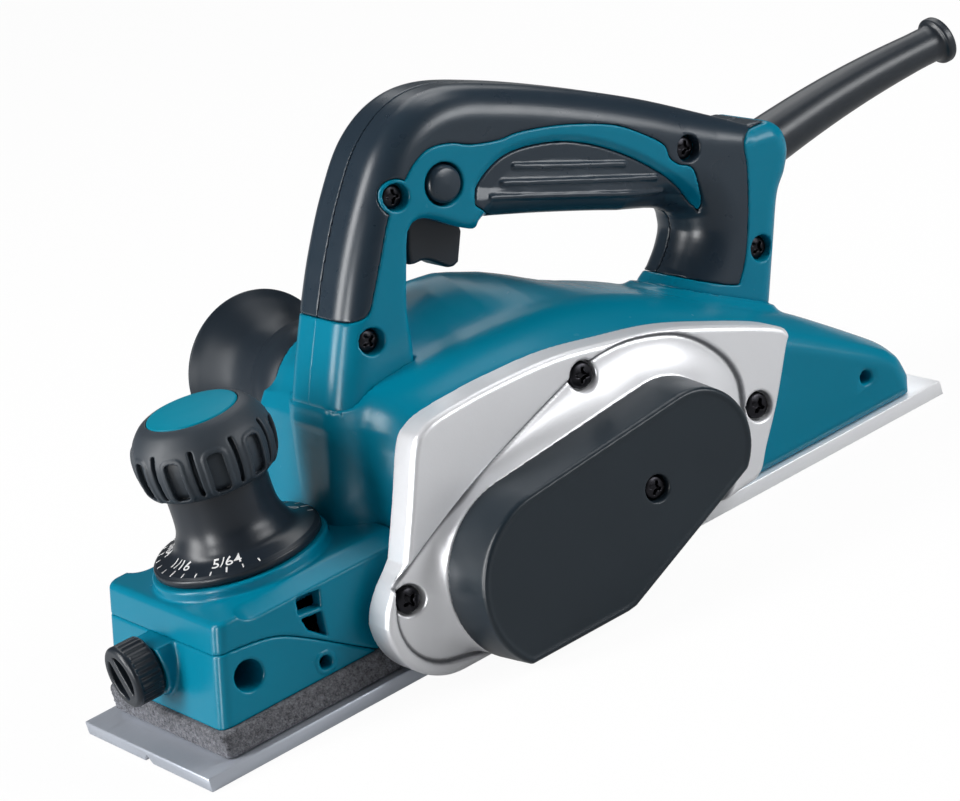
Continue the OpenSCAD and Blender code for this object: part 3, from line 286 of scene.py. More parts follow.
def skin(field, grid):  # one smooth quad net over the zero level of a field
    field = np.ascontiguousarray(field, np.float32)
    solid = field < 0
    size = np.array(field.shape)
    corners = np.array([(i, j, k) for i in (0, 1) for j in (0, 1) for k in (0, 1)])
    some = np.zeros(size - 1, bool)
    every = np.ones(size - 1, bool)
    for i, j, k in corners:
        part = solid[i:size[0] - 1 + i, j:size[1] - 1 + j, k:size[2] - 1 + k]
        some |= part
        every &= part
    active = some & ~every
    cells = np.argwhere(active)
    values = np.stack([field[tuple((cells + c).T)] for c in corners], 1)
    total = np.zeros((len(cells), 3))
    count = np.zeros(len(cells))
    for a in range(8):
        for b in range(a + 1, 8):
            if np.abs(corners[a] - corners[b]).sum() != 1:
                continue
            cut = (values[:, a] < 0) != (values[:, b] < 0)
            share = np.where(cut, values[:, a] / np.where(cut, values[:, a] - values[:, b], 1), 0)
            total += cut[:, None] * (corners[a] + share[:, None] * (corners[b] - corners[a]))
            count += cut
    verts = np.array(grid[0]) + grid[2] * (cells + total / count[:, None])
    number = np.full(active.shape, -1, np.int64)
    number[active] = np.arange(len(cells))
    faces = []
    for axis in range(3):
        b, c = (axis + 1) % 3, (axis + 2) % 3
        first = np.moveaxis(solid, axis, 0)[:-1]
        second = np.moveaxis(solid, axis, 0)[1:]
        spots = np.argwhere(np.moveaxis(first != second, 0, axis))
        spots = spots[(spots[:, b] > 0) & (spots[:, c] > 0)
                      & (spots[:, b] < size[b] - 1) & (spots[:, c] < size[c] - 1)]
        ring = []
        for db, dc in ((-1, -1), (0, -1), (0, 0), (-1, 0)):
            spot = spots.copy()
            spot[:, b] += db
            spot[:, c] += dc
            ring.append(number[tuple(spot.T)])
        ring = np.stack(ring, 1)
        outward = solid[tuple(spots.T)]
        faces.append(np.where(outward[:, None], ring, ring[:, ::-1]))
    return verts, np.concatenate(faces)


def linked(name, data):  # a new object in the scene
    obj = bpy.data.objects.new(name, data)
    bpy.context.collection.objects.link(obj)
    return obj


def meshPiece(name, verts, faces, material):
    mesh = bpy.data.meshes.new(name)
    faces = np.asarray(faces)
    sides = faces.shape[1]
    mesh.vertices.add(len(verts))
    mesh.vertices.foreach_set("co", np.asarray(verts, np.float32).ravel())
    mesh.loops.add(faces.size)
    mesh.loops.foreach_set("vertex_index", faces.astype(np.int32).ravel())
    mesh.polygons.add(len(faces))
    mesh.polygons.foreach_set("loop_start", np.arange(0, faces.size, sides, dtype=np.int32))
    mesh.update(calc_edges=True)
    mesh.validate()
    mesh.shade_smooth()
    mesh.materials.append(material)
    return linked(name, mesh)


def toFrame(points):  # from mm beside the drum axis to metres in the part's frame
    return (np.asarray(points) + (drumX, 0, 0)) / 1000


handleSlope = {"tilt": 25.0, "x": 36.0, "z": 100.0}  # where the handle's own axes start
slopeCos, slopeSin = cos(radians(handleSlope["tilt"])), sin(radians(handleSlope["tilt"]))


def fromHandle(points):  # the handle's own axes, mm, to the part's frame
    u, y, v = np.asarray(points).T
    return toFrame(np.stack([handleSlope["x"] + slopeCos * u + slopeSin * v, y,
                             handleSlope["z"] - slopeSin * u + slopeCos * v], 1))


def handleAxes(x, z):
    dx, dz = x - handleSlope["x"], z - handleSlope["z"]
    return slopeCos * dx - slopeSin * dz, slopeSin * dx + slopeCos * dz


def settle(obj):  # modifiers become the mesh
    made = bpy.data.meshes.new_from_object(obj.evaluated_get(bpy.context.evaluated_depsgraph_get()))
    obj.modifiers.clear()
    old = obj.data
    obj.data = made
    bpy.data.meshes.remove(old)
    return obj


def joined(name, parts):
    bm = bmesh.new()
    for part in parts:
        bm.from_mesh(part.data)
    mesh = bpy.data.meshes.new(name)
    bm.to_mesh(mesh)
    bm.free()
    for m in parts[0].data.materials:
        mesh.materials.append(m)
    for part in parts:
        bpy.data.objects.remove(part)
    return linked(name, mesh)


def seat(obj, *nodes):  # rides where its CAD nodes ride and stands for them
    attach(obj, bodyOf[nodes[0]])
    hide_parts(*nodes)
    return obj


def netted(name, field, grid, material, place=toFrame, most=190000):
    verts, faces = skin(field, grid)
    obj = meshPiece(name, place(verts), faces, material)
    triangles = sum(len(p.vertices) - 2 for p in obj.data.polygons)
    if triangles > most:  # fewer on a large smooth shell
        obj.modifiers.new("thin", "DECIMATE").ratio = most / triangles
        settle(obj)
    print("moulded", name, len(obj.data.polygons))
    return obj


def moulded(name, node, field, grid, place=toFrame):
    return seat(netted(name, field, grid, finishes[slotOf[node]], place), node)


# Handle: hard teal shells with a soft dark grip between them

handle = {
    "halfWidth": 18.0, "columnRound": 10.0, "gripRound": 11.2, "collarEdge": 6.5, "gapEdge": 8.0,
    "columnEdge": 2.6, "rearEdge": 16.0, "footEdge": 1.5, "cell": 0.5, "low": (-43, -45), "high": (124, 63),
    "outer": curveThrough([(-41, -30), (-40.4, -10), (-39.2, 5), (-36.5, 22), (-31.5, 39), (-22, 51.5),
                           (-8, 58.3), (14, 60), (40, 59.5), (66, 57.6), (90, 54.2), (104, 51.8)], 10)
    + curveThrough([(105.5, 52.2), (111.5, 53.4), (116.8, 51.4), (120, 45.6), (119.8, 38), (117.8, 30),
                    (118, 15), (118.5, -5.9)], 6),
    "gap": [(79.5, -1.8)]
    + curveThrough([(84, 4.5), (86.2, 11), (86.4, 17.6), (81, 22.8), (56, 22.5), (31, 21.1), (12, 19.5)], 5)
    + [(7.6, 19), (5.6, 17.4), (4.6, 15.4), (2.8, 15.4)]
    + curveThrough([(-2.6, 16), (-8.1, 17.3), (-12.8, 18.2), (-17.5, 17.8), (-20.6, 14), (-20, 4),
                    (-18.6, -10), (-15.8, -20), (-14.5, -27)], 2) + [(-25, -37)],
    "padEdge": curveThrough([(88.6, 23.4), (87.2, 24.6), (79.3, 30.6), (69.9, 35.3), (58.2, 39.8),
                             (45, 42.9), (33, 43.7), (22.2, 42.3), (13.2, 39.5), (7, 35.1), (2.6, 29.2),
                             (1.6, 25), (2.6, 22.6), (9, 20.4)], 5),
    "padDeep": 1.3, "padBevel": 2.4, "padFade": (14.0, 9.0), "padRise": (24.5, 4.0),
    "frontShell": [(-60, -60), (-60, -14.6)]
    + curveThrough([(-37.7, -14.5), (-32.9, -11.6), (-31.4, -4.2), (-30.1, 6.1), (-28.3, 18.9), (-24, 29.2),
                    (-20.9, 35.1), (-16.1, 39.7), (-8.8, 41.6), (-1.3, 41.5), (8.4, 43.3), (15.1, 45.9),
                    (27.4, 48.4), (39.2, 49.6), (51.1, 49.6), (61.7, 47.2), (69.5, 44.3), (72.1, 40.4),
                    (75.8, 38.4), (81.1, 37.5), (85.3, 31.5), (88.3, 26.6)], 5),
    "rearShell": [(118, 80), (113, 55)]
    + curveThrough([(110, 52.6), (107.5, 51.8), (103.6, 50.2), (100.9, 47.6), (100.4, 44.5), (102.2, 38.6),
                    (104.1, 25.4), (104.8, 10.7), (103.5, 2.6), (101.8, 0.7), (89.2, 1.5), (75.7, 3.4),
                    (67.3, 4.7)], 5) + [(56, 5.6), (56, -40), (150, -40), (150, 80)],
    "below": [(-60, -42.5), (-32, -42), (-25, -37), (0, -30), (60, -14), (79.5, -1.8), (118.5, -5.9),
              (130, -7), (130, -100), (-60, -100)],
    "screws": [(-26.2, 24.4), (-30.7, -19.5), (79, 43.5), (110.8, 12.8)], "recess": 4.3, "recessDeep": 4.9,
    "ribs": [((15.3, 35.4), (55.8, 37.6)), ((11.6, 30.2), (68.4, 33.8)), ((7.5, 25.6), (72.3, 29.2))],
    "screwRing": 1.3, "ribHalf": 0.8, "ribHigh": 0.7, "joint": 0.08, "core": 3.0, "lock": (-10.0, 29.1),
    "lockHole": 6.8, "lockEnd": -9.0, "guardRoot": (114.7, 42.7), "guardTurn": 29.6, "guardHole": 8.9,
    "guardDeep": 9.0,
    "rooms": [((-18.5, -7.4, 5), (9, 7.4, 26.9)), ((-2.1, -9.1, 26.9), (28.1, 9.1, 47.1)),
              ((28, -4, 34), (94, 4, 42)), ((91, -10, 22), (109, 10, 44))],  # trigger, switch, leads, clamp
    "halves": {"left": (-19.2, 1.8), "right": (-0.6, 19.2)},
}


def handleField(u, y, v):  # the handle without its foot cut
    h = handle
    outer = outlineField([(-41, -80)] + h["outer"] + [(118.5, -80)], u, v)
    gap = outlineField([(79.5, -80)] + h["gap"] + [(-25, -80)], u, v)
    edges = [h["columnRound"], h["gripRound"], h["gripRound"], h["columnRound"], h["collarEdge"]]
    outerEdge = np.interp(u, [-28, 6, 78, 90, 106], edges).astype(np.float32)
    edges = [h["columnEdge"], h["gapEdge"], h["gapEdge"], h["rearEdge"]]
    gapEdge = np.interp(u, [0, 8, 58, 76], edges).astype(np.float32)
    return roundMax(roundMax(outer, np.abs(y) - h["halfWidth"], outerEdge), -gap, gapEdge)


def handleRooms(u, y, v, side):  # what is hollow inside, and the holes
    h = handle
    turn = radians(h["guardTurn"])
    du, dv = u - h["guardRoot"][0], v - h["guardRoot"][1]
    along = du * cos(turn) + dv * sin(turn)
    across = np.hypot(dv * cos(turn) - du * sin(turn), y)
    rooms = [boxField((u, y, v), *room) for room in h["rooms"]]
    rooms.append(allOf(across - h["guardHole"], -h["guardDeep"] - along))
    if side == "left":
        deep = y + h["halfWidth"] - h["recessDeep"]
        rooms += [allOf(bore(u, v, (*spot, h["recess"])), deep) for spot in h["screws"]]
        rooms.append(allOf(bore(u, v, (*h["lock"], h["lockHole"])), y - h["lockEnd"]))
    return anyOf(*rooms)


def handleShells():
    h = handle
    (uLow, vLow), (uHigh, vHigh) = h["low"], h["high"]
    for side, (yLow, yHigh) in h["halves"].items():
        grid = (uLow, yLow, vLow), (uHigh, yHigh, vHigh), h["cell"]
        u, y, v = sampled(grid)
        body = roundMax(handleField(u, y, v), -outlineField(h["below"], u, v), h["footEdge"])
        pad = outlineField(h["padEdge"] + [(9, -20), (92, -20)], u, v)  # lies deeper than the arc
        fade, rise = h["padFade"], h["padRise"]
        body = body + h["padDeep"] * np.clip(1 - pad / h["padBevel"], 0, 1) \
            * np.clip((pad + fade[0]) / fade[1], 0, 1) * np.clip((v - rise[0]) / rise[1], 0, 1)
        teal = anyOf(outlineField(h["frontShell"] + h["padEdge"] + [(9, -60)], u, v),
                     outlineField(h["rearShell"], u, v),
                     bore(u, v, (*h["screws"][0], h["recess"] + h["screwRing"])))
        rooms = handleRooms(u, y, v, side)
        soft = body
        for start, end in h["ribs"]:
            rib = roundMax(lineField(start, end, u, v) - h["ribHalf"], body - h["ribHigh"], 0.5)
            soft = roundMin(soft, rib, 0.5)
        hardShell = np.minimum(roundMax(body, teal + h["joint"], 0.3), body + h["core"])
        hardShell = roundMax(hardShell, -rooms, 0.4)
        softShell = roundMax(roundMax(soft, h["joint"] - teal, 0.3), -rooms, 0.4)
        hardCut, softCut = (y - 0.8, y + 0.2) if side == "left" else (-y, 0.2 - y)
        hardNode, softNode = "handle_" + side, "grip_" + side
        moulded(hardNode + "_shell", hardNode, np.maximum(hardShell, hardCut), grid, fromHandle)
        moulded(softNode + "_skin", softNode, np.maximum(softShell, softCut), grid, fromHandle)


handleShells()

triggerSpec = {
    "halfWidth": 7.0, "edge": 1.3, "grid": ((-17, -8, 1), (7, 8, 26), 0.4),
    "outline": [(-15, 24), (2, 24), (3, 17), (4.6, 14), (4.5, 4.4)]
    + curveThrough([(3, 3), (0.6, 2.6), (-3.1, 3.8), (-7.7, 4.6), (-11, 3.4), (-13.2, 3)], 3)
    + [(-14.6, 8), (-15.5, 16)], "pin": (-11, 21, 1.65),
}


def triggerPiece():
    t = triggerSpec
    u, y, v = sampled(t["grid"])
    field = roundMax(outlineField(t["outline"], u, v), np.abs(y) - t["halfWidth"], t["edge"])
    field = np.maximum(field, -bore(u, v, t["pin"]))
    moulded("trigger_lever", "trigger", field, t["grid"], fromHandle)


triggerPiece()


# Repeated small pieces are copied on to points by one Geometry Nodes tree

def repeatTree():
    tree = bpy.data.node_groups.new("repeat_on_points", "GeometryNodeTree")
    sockets = {}
    for label, kind in (("Points", "Geometry"), ("Piece", "Object"), ("Finish", "Material")):
        made = tree.interface.new_socket(name=label, in_out="INPUT", socket_type="NodeSocket" + kind)
        sockets[label] = made.identifier
    tree.interface.new_socket(name="Mesh", in_out="OUTPUT", socket_type="NodeSocketGeometry")
    entry, leave, piece, copies, turn, euler, solid, paint = [tree.nodes.new(kind) for kind in (
        "NodeGroupInput", "NodeGroupOutput", "GeometryNodeObjectInfo", "GeometryNodeInstanceOnPoints",
        "GeometryNodeInputNamedAttribute", "FunctionNodeEulerToRotation", "GeometryNodeRealizeInstances",
        "GeometryNodeSetMaterial")]
    turn.data_type = "FLOAT_VECTOR"
    turn.inputs["Name"].default_value = "turn"
    for start, given, end, taken in (
            (entry, "Points", copies, "Points"), (entry, "Piece", piece, "Object"),
            (piece, "Geometry", copies, "Instance"), (turn, 0, euler, 0), (euler, 0, copies, "Rotation"),
            (copies, 0, solid, 0), (solid, 0, paint, "Geometry"), (entry, "Finish", paint, "Material"),
            (paint, 0, leave, 0)):
        tree.links.new(start.outputs[given], end.inputs[taken])
    return tree, sockets


repeatGroup, repeatSockets = repeatTree()


def repeated(name, places, turns, piece, material):
    mesh = bpy.data.meshes.new(name)
    mesh.from_pydata([tuple(p) for p in places], [], [])
    mesh.attributes.new("turn", "FLOAT_VECTOR", "POINT").data.foreach_set("vector", np.radians(turns).ravel())
    obj = linked(name, mesh)
    copies = obj.modifiers.new("repeat", "NODES")
    copies.node_group = repeatGroup
    copies[repeatSockets["Piece"]] = piece
    copies[repeatSockets["Finish"]] = material
    settle(obj)
    if "turn" in obj.data.attributes:
        obj.data.attributes.remove(obj.data.attributes["turn"])
    bpy.data.objects.remove(piece)
    return obj


crossHead = {"cells": 15, "dome": 2.4, "domeEdge": 0.3, "armHalf": 0.14, "armLong": 0.6, "middle": 0.42,
             "taper": 0.15, "deep": 0.4}  # parts of the head's radius or height


def crossScrew(radius, high, shank, reach):  # pan head with a cross recess, seat at height 0
    c = crossHead
    cell = radius / c["cells"]
    wide = radius + 3 * cell
    grid = (-wide, -wide, -reach - 2 * cell), (wide, wide, high + 3 * cell), cell
    x, y, z = sampled(grid)
    r = np.hypot(x, y)
    ball = c["dome"] * radius
    dome = np.sqrt(r ** 2 + (z - high + ball) ** 2) - ball
    head = roundMax(roundMax(r - radius, -z + 0 * r, 0.1), dome, c["domeEdge"] * high)
    half, end = c["armHalf"] * radius, c["armLong"] * radius
    arms = np.minimum(roundMax(np.abs(x) - half, np.abs(y) - end, 0.1),
                      roundMax(np.abs(y) - half, np.abs(x) - end, 0.1))
    arms = np.minimum(arms, np.abs(x) + np.abs(y) - c["middle"] * radius)
    head = roundMax(head, -np.maximum(arms + c["taper"] * (high - z), c["deep"] * high - z), 0.12)
    body = np.minimum(head, np.maximum(r - shank, between(z, -reach, 0.3)))
    return netted("screw", body, grid, finishes["black_steel"], lambda points: points / 1000)


# Turned pieces: a half profile of radius and height swept round an axis

def lathe(name, node, profile, place, steps=96, sharp=50, material=None):
    profile = np.array(profile, float)
    angle = np.arange(steps) * tau / steps
    rings = np.stack([profile[:, None, 0] * np.cos(angle), profile[:, None, 0] * np.sin(angle),
                      np.repeat(profile[:, None, 1], steps, 1)], 2)
    n = len(profile)
    faces = []
    for i in range(n):
        here, after = i * steps + np.arange(steps), (i + 1) % n * steps + np.arange(steps)
        faces.append(np.stack([here, np.roll(here, -1), np.roll(after, -1), after], 1))
    material = material or finishes[slotOf[node]]
    obj = meshPiece(name, place(rings.reshape(-1, 3)), np.concatenate(faces), material)
    fixNormals(obj)
    obj.data.set_sharp_from_angle(angle=radians(sharp))
    return seat(obj, node)


def fixNormals(obj):
    bm = bmesh.new()
    bm.from_mesh(obj.data)
    bmesh.ops.remove_doubles(bm, verts=bm.verts, dist=1e-7)
    bmesh.ops.recalc_face_normals(bm, faces=bm.faces)
    bm.to_mesh(obj.data)
    bm.free()
    obj.data.shade_smooth()


def onKnob(points):
    return toFrame(np.asarray(points) + (knobX, 0, 0))


dial = {
    "z": 48.5, "radius": 26.5, "neck": 16.0, "high": 24.0, "hole": 7.1, "rim": 2.4, "print": 0.07,
    "numbers": ["5/64", "1/16", "3/64", "1/32", "1/64", "0"], "numberHigh": 5.0, "numberAt": 20.9,
    "bold": 0.012, "firstTurn": -126.0, "step": 48, "tick": 12, "ticksFrom": -252, "ticksTo": 36,
    "tickEnd": 25.3, "short": (23.6, 0.42), "long": (22.9, 0.55),
}


def dialProfile():
    d = dial
    slope = curveThrough([(d["radius"] - 1, 3.2), (d["radius"] - 6.5, 5), (d["neck"] + 1.8, 8.0),
                          (d["neck"] + 0.1, 13), (d["neck"], d["high"])], 8)
    rim = arcRound((d["radius"] - 0.8, d["rim"] - 0.6), 0.8, -10, 80, 5)
    return [(d["hole"], 0), (d["radius"] - 0.5, 0), (d["radius"], 0.5)] + rim + slope \
        + [(d["hole"], d["high"])]


lathe("depth_dial", "scale_dial", [(r, z + dial["z"]) for r, z in dialProfile()], onKnob, 128)


def onDial(radius, turn, lift):  # a place on the dial's slope
    profile = np.array(dialProfile()[3:-1])
    profile = profile[np.argsort(profile[:, 0])]
    height = np.interp(radius, profile[:, 0], profile[:, 1]) + lift + dial["z"]
    return np.stack([radius * np.cos(turn), radius * np.sin(turn), height], -1)


def dialTicks(name, angles):
    d = dial
    start, wide = d[name]
    along = np.linspace(start, d["tickEnd"], 7)
    rows = [onDial(along, aside / along, lift - d["z"]) for lift in (-0.1, d["print"])
            for aside in (-wide / 2, wide / 2)]
    n = len(along)
    faces = [(a * n + i, a * n + i + 1, b * n + i + 1, b * n + i) for i in range(n - 1)
             for a, b in ((2, 3), (1, 0), (0, 2), (3, 1))]
    faces += [(0, n, 3 * n, 2 * n), (n - 1, 3 * n - 1, 4 * n - 1, 2 * n - 1)]
    stroke = meshPiece("stroke", np.concatenate(rows) / 1000, faces, whitePrint)
    fixNormals(stroke)
    centre = onKnob([(0, 0, d["z"])])[0]
    turns = [(0, 0, a + d["firstTurn"]) for a in angles]
    return repeated("dial_" + name, [centre] * len(turns), turns, stroke, whitePrint)


def dialNumber(index, number):
    d = dial
    text = bpy.data.curves.new("number", "FONT")
    text.body, text.size, text.extrude, text.offset = number, d["numberHigh"], 0.04, d["bold"]
    text.align_x, text.align_y = "CENTER", "CENTER"
    holder = linked("number", text)
    mesh = bpy.data.meshes.new_from_object(holder.evaluated_get(bpy.context.evaluated_depsgraph_get()))
    bpy.data.objects.remove(holder)
    bm = bmesh.new()
    bm.from_mesh(mesh)
    bmesh.ops.remove_doubles(bm, verts=bm.verts, dist=1e-5)
    bmesh.ops.triangulate(bm, faces=bm.faces)
    bmesh.ops.subdivide_edges(bm, edges=[e for e in bm.edges if e.calc_length() > 0.8], cuts=2)
    bmesh.ops.triangulate(bm, faces=bm.faces)
    flat = np.array([v.co for v in bm.verts])  # wrapped round the slope
    turn = radians(d["firstTurn"] - d["step"] * index) + 1.08 * flat[:, 0] / d["numberAt"]
    wrapped = onKnob(onDial(d["numberAt"] - 0.9 * flat[:, 1], turn, flat[:, 2] + d["print"] - 0.03))
    for v, place in zip(bm.verts, wrapped):
        v.co = place
    bmesh.ops.recalc_face_normals(bm, faces=bm.faces)
    bm.to_mesh(mesh)
    bm.free()
    mesh.materials.clear()
    mesh.materials.append(whitePrint)
    return linked("dial_number_" + str(index), mesh)


def dialMarks():  # white strokes and numbers printed on the slope
    d = dial
    angles = range(d["ticksFrom"], d["ticksTo"], d["tick"])
    groups = [dialTicks("short", [a for a in angles if a % d["step"]]),
              dialTicks("long", [a for a in angles if a % d["step"] == 0])]
    return joined("dial_print", groups + [dialNumber(i, number) for i, number in enumerate(d["numbers"])])


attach(dialMarks(), "depth_knob")


def onLock(points):
    a, b, out = np.asarray(points).T
    return fromHandle(np.stack([handle["lock"][0] + a, -12 - out, handle["lock"][1] + b], 1))


lock = {"radius": 5.9, "edge": 1.9, "rim": 7.2, "crown": 7.7, "stem": 3.0, "stemLow": -8.0}


def lockButton():
    k = lock
    profile = [(0.01, k["stemLow"]), (k["stem"], k["stemLow"]), (k["stem"], 0), (k["radius"], 0.3),
               (k["radius"], k["rim"] - k["edge"])] \
        + arcRound((k["radius"] - k["edge"], k["rim"] - k["edge"]), k["edge"], 5, 75, 6) \
        + [(2.4, k["crown"] - 0.15), (0.01, k["crown"])]
    lathe("lock_dome", "lock_button", profile, onLock, 64)


lockButton()

cap = {"z": 72.5, "radius": 22.0, "high": 23.3, "hole": 7.1, "disc": 14.3, "discHigh": 4.0, "pads": 10,
       "padDeep": 1.5, "padHalf": 3.3, "padSpan": (1.4, 15.4), "padRound": 2.2, "lipHalf": 0.7,
       "lipDeep": 1.2, "lipHigh": 0.35, "slitHalf": 0.7, "slitSpan": (2.4, 17), "slitDeep": 2.4, "cell": 0.38}


def capOutline():
    c = cap
    outer, top, seatR = c["radius"], c["high"], c["disc"] + 0.15
    side = curveThrough([(outer - 5.5, 0), (outer - 3, 0.8), (outer - 1.1, 3.4), (outer - 0.2, 7.5),
                         (outer, 11), (outer - 0.4, 14.4), (outer - 1.9, 18), (outer - 4.5, 21.2),
                         (c["disc"] + 0.7, top - 0.6)], 4)
    return [(c["hole"], 0)] + side \
        + [(seatR, top - 0.7), (seatR, top - c["discHigh"]), (c["hole"], top - c["discHigh"])]


def capPiece():
    c = cap
    reach = c["radius"] + 1.2
    grid = (-reach, -reach, -1), (reach, reach, c["high"] + 1), c["cell"]
    x, y, z = sampled(grid)
    radius = np.hypot(x, y)
    field = outlineField(capOutline(), radius, z)
    turn = np.arctan2(y, x)
    step = tau / c["pads"]
    aside = (np.mod(turn + step / 2, step) - step / 2) * radius  # beside the nearest pad's middle
    slit = (np.mod(turn, step) - step / 2) * radius  # beside the nearest slit
    inward = -field
    pad = roundMax(np.abs(aside) - c["padHalf"], between(z, *c["padSpan"]), c["padRound"])
    field = roundMax(field, -roundMax(pad, inward - c["padDeep"], 0.6), 0.6)
    lip = roundMax(np.abs(pad + 0.1) - c["lipHalf"], inward - c["lipDeep"], 0.3)
    field = roundMin(field, np.maximum(lip, -inward - c["lipHigh"]), 0.3)
    slot = roundMax(np.abs(slit) - c["slitHalf"], between(z, *c["slitSpan"]), 0.6)
    field = roundMax(field, -np.maximum(slot, inward - c["slitDeep"]), 0.4)
    lifted = (0, 0, c["z"])
    seat(netted("knob_grip", field, grid, knobSoft, lambda points: onKnob(points + lifted)), "knob_cap")
    top = c["z"] + c["high"]
    disc = [(0.01, top - c["discHigh"]), (c["disc"], top - c["discHigh"]), (c["disc"], top - 0.9)] \
        + arcRound((c["disc"] - 0.7, top - 0.9), 0.7, 10, 85, 4) \
        + [(c["disc"] * 0.5, top + 0.25), (0.01, top + 0.35)]
    lathe("knob_plate", "knob_disc", disc, onKnob, material=discPlastic)


capPiece()

# Chip outlet horn, turned about an axis along Y

horn = {"x": 5.5, "z": 69.5, "y": 46.6, "end": 80.0, "bore": 14.0, "rim": 26.1, "lip": 1.8, "sleeve": 20.4,
        "over": 14.0}


def alongY(points):
    x, z, y = np.asarray(points).T
    return toFrame(np.stack([horn["x"] + x, horn["y"] + y, horn["z"] + z], 1))


def hornPiece():
    h = horn
    reach = h["end"] - h["y"]
    inner, rim = h["bore"], h["rim"]
    outside = curveThrough([(inner + 2.6, 4), (inner + 2.8, 10), (inner + 4.4, reach - 14),
                            (rim - 3, reach - 5), (rim, reach - 1)], 8)
    inside = curveThrough([(rim - 5, reach - 5.5), (inner + 1.6, reach - 12), (inner, reach - 18)], 8)
    sleeve = [(h["sleeve"] - 0.4, -h["over"]), (h["sleeve"], 0.4 - h["over"]), (h["sleeve"], 1.2),
              (h["sleeve"] - 0.8, 2.2)]
    lip = arcRound((rim - h["lip"] / 2, reach - 0.6), h["lip"] / 2, 0, 180, 8)
    profile = [(inner, -h["over"])] + sleeve + outside + lip + inside
    lathe("chip_horn", "chip_outlet", profile, alongY, 128, 60)


hornPiece()

# Cord guard, turned and then bent a little along its length

guard = {"x": 158.0, "z": 88.9, "rise": 4.3, "long": 85.0, "radius": 8.8, "endRadius": 6.2, "bead": 8.1,
         "beadWide": 3.6, "hole": 3.6, "collar": 2.2, "bow": -2.0}


def guardPlace(points):
    g = guard
    a, b, t = np.asarray(points).T
    share = np.clip(t / g["long"], 0, 1)
    lift = a - g["bow"] * np.sin(pi * share)
    rise = radians(g["rise"])
    return toFrame(np.stack([g["x"] + t * cos(rise) - lift * sin(rise), b,
                             g["z"] + t * sin(rise) + lift * cos(rise)], 1))


def guardPiece():
    g = guard
    taper = [(g["radius"] + (g["endRadius"] - g["radius"]) * min(1, t / (g["long"] - 12)), t)
             for t in np.linspace(0, g["long"] - g["beadWide"] - 1, 30)]
    bead = arcRound((g["bead"] - 1.2, g["long"] - g["beadWide"] + 1.2), 1.2, -80, 0, 6) \
        + arcRound((g["bead"] - 1.2, g["long"] - 1.2), 1.2, 0, 90, 6)
    collar = g["radius"] + g["collar"]
    profile = [(g["hole"], -7.9), (collar, -7.9), (collar, -4.2), (g["radius"], -4)] + taper + bead \
        + [(g["hole"] + 0.6, g["long"]), (g["hole"], g["long"] - 0.6)]
    inner = [(g["hole"], t) for t in np.linspace(g["long"] - 3, -5, 28)]
    lathe("cord_sleeve", "cord_guard", profile + inner, guardPlace, 64, 55)


guardPiece()


# Front block, split along the parting line into a lower and an upper half

block = {
    "front": 86.5, "lean": 9.0, "top": 44.5, "low": 13.4, "half": 36.5, "corner": 4.0, "topEdge": 1.6,
    "bevelDown": 3.4, "bevelIn": 7.0, "bevelFrom": -73.0, "bevelRun": 6.0, "scoop": 3.2, "joint": 0.1,
    "lowerGrid": ((-98, -38, 12), (-26, 38, 38), 0.5), "upperGrid": ((-98, -38, 12.4), (-14, 38, 49.5), 0.5),
    "rear": -20.0,
    "parting": [(-110, 0), (-110, 35.2), (-89.5, 35.2)]
    + curveThrough([(-84, 35.2), (-71, 33.2), (-61.6, 28.6), (-46.4, 18.2), (-39.4, 13.4)], 4) + [(-39.4, 0)],
    "windows": [[(-60.2, 35.3), (-59.3, 40.4), (-51.2, 39.6), (-52.6, 34.3)],
                [(-59.8, 33.7), (-52.6, 32.9), (-53.5, 25), (-58.8, 29.5)]],
    "rod": (-81.5, 25.6, 4.9), "sideHole": (-56.8, 17.8, 2.2), "sideRing": 1.5, "holeEnd": -30.0,
    "thumb": (28.5, -95.6, 10.5), "thumbHole": 4.1, "bay": ((-72, -31, 0), (-30, 31, 36.5)),
    "posts": (-39.0, 20.0, 4.3), "postTop": 38.5, "seatR": 27.9, "seatTop": 48.1, "screwHole": 7.1,
}


def blockField(x, y, z):
    b = block
    tilt = atan2(b["lean"], b["top"] - b["low"])
    front = -(x + b["front"] + b["lean"]) * cos(tilt) + (z - b["low"]) * sin(tilt)
    side = np.abs(y) - b["half"]
    field = roundMax(front, side, b["corner"])
    field = roundMax(field, z - b["top"], b["topEdge"])
    run = np.hypot(b["bevelDown"], b["bevelIn"])
    bevel = (side * b["bevelDown"] + (z - b["top"] + b["bevelDown"]) * b["bevelIn"]) / run
    out = np.clip((b["bevelFrom"] - x) / b["bevelRun"], 0, 1)  # the strip ends in a round scoop
    bevel = bevel - b["scoop"] * (1 - np.sqrt(1 - out ** 2))
    return allOf(roundMax(field, bevel, 0.35), b["low"] - z, x - b["rear"])


def lowerBlock():
    b = block
    x, y, z = sampled(b["lowerGrid"])
    thumbZ, thumbStart, thumbR = b["thumb"]
    collar = roundMax(bore(y, z, (0, thumbZ, thumbR)), between(x, thumbStart, -80), 0.8)
    field = roundMin(blockField(x, y, z), collar, 1.0)
    field = roundMax(field, outlineField(b["parting"], x, z) + b["joint"], 0.35)
    field = np.maximum(field, -boxField((x, y, z), *b["bay"]))
    sideHole = bore(x, z, b["sideHole"])
    ring = roundMax(sideHole - b["sideRing"], np.abs(y) - b["half"] - 0.35, 0.3)
    field = np.minimum(field, np.maximum(ring, y - b["holeEnd"]))
    field = roundMax(field, -bore(x, z, b["rod"]), 0.5)
    thumbHole = allOf(bore(y, z, (0, thumbZ, b["thumbHole"])), x - b["rod"][0])
    field = np.maximum(field, -anyOf(allOf(sideHole, y - b["holeEnd"]), thumbHole))
    moulded("front_block_lower", "front_housing", field, b["lowerGrid"])


lowerBlock()


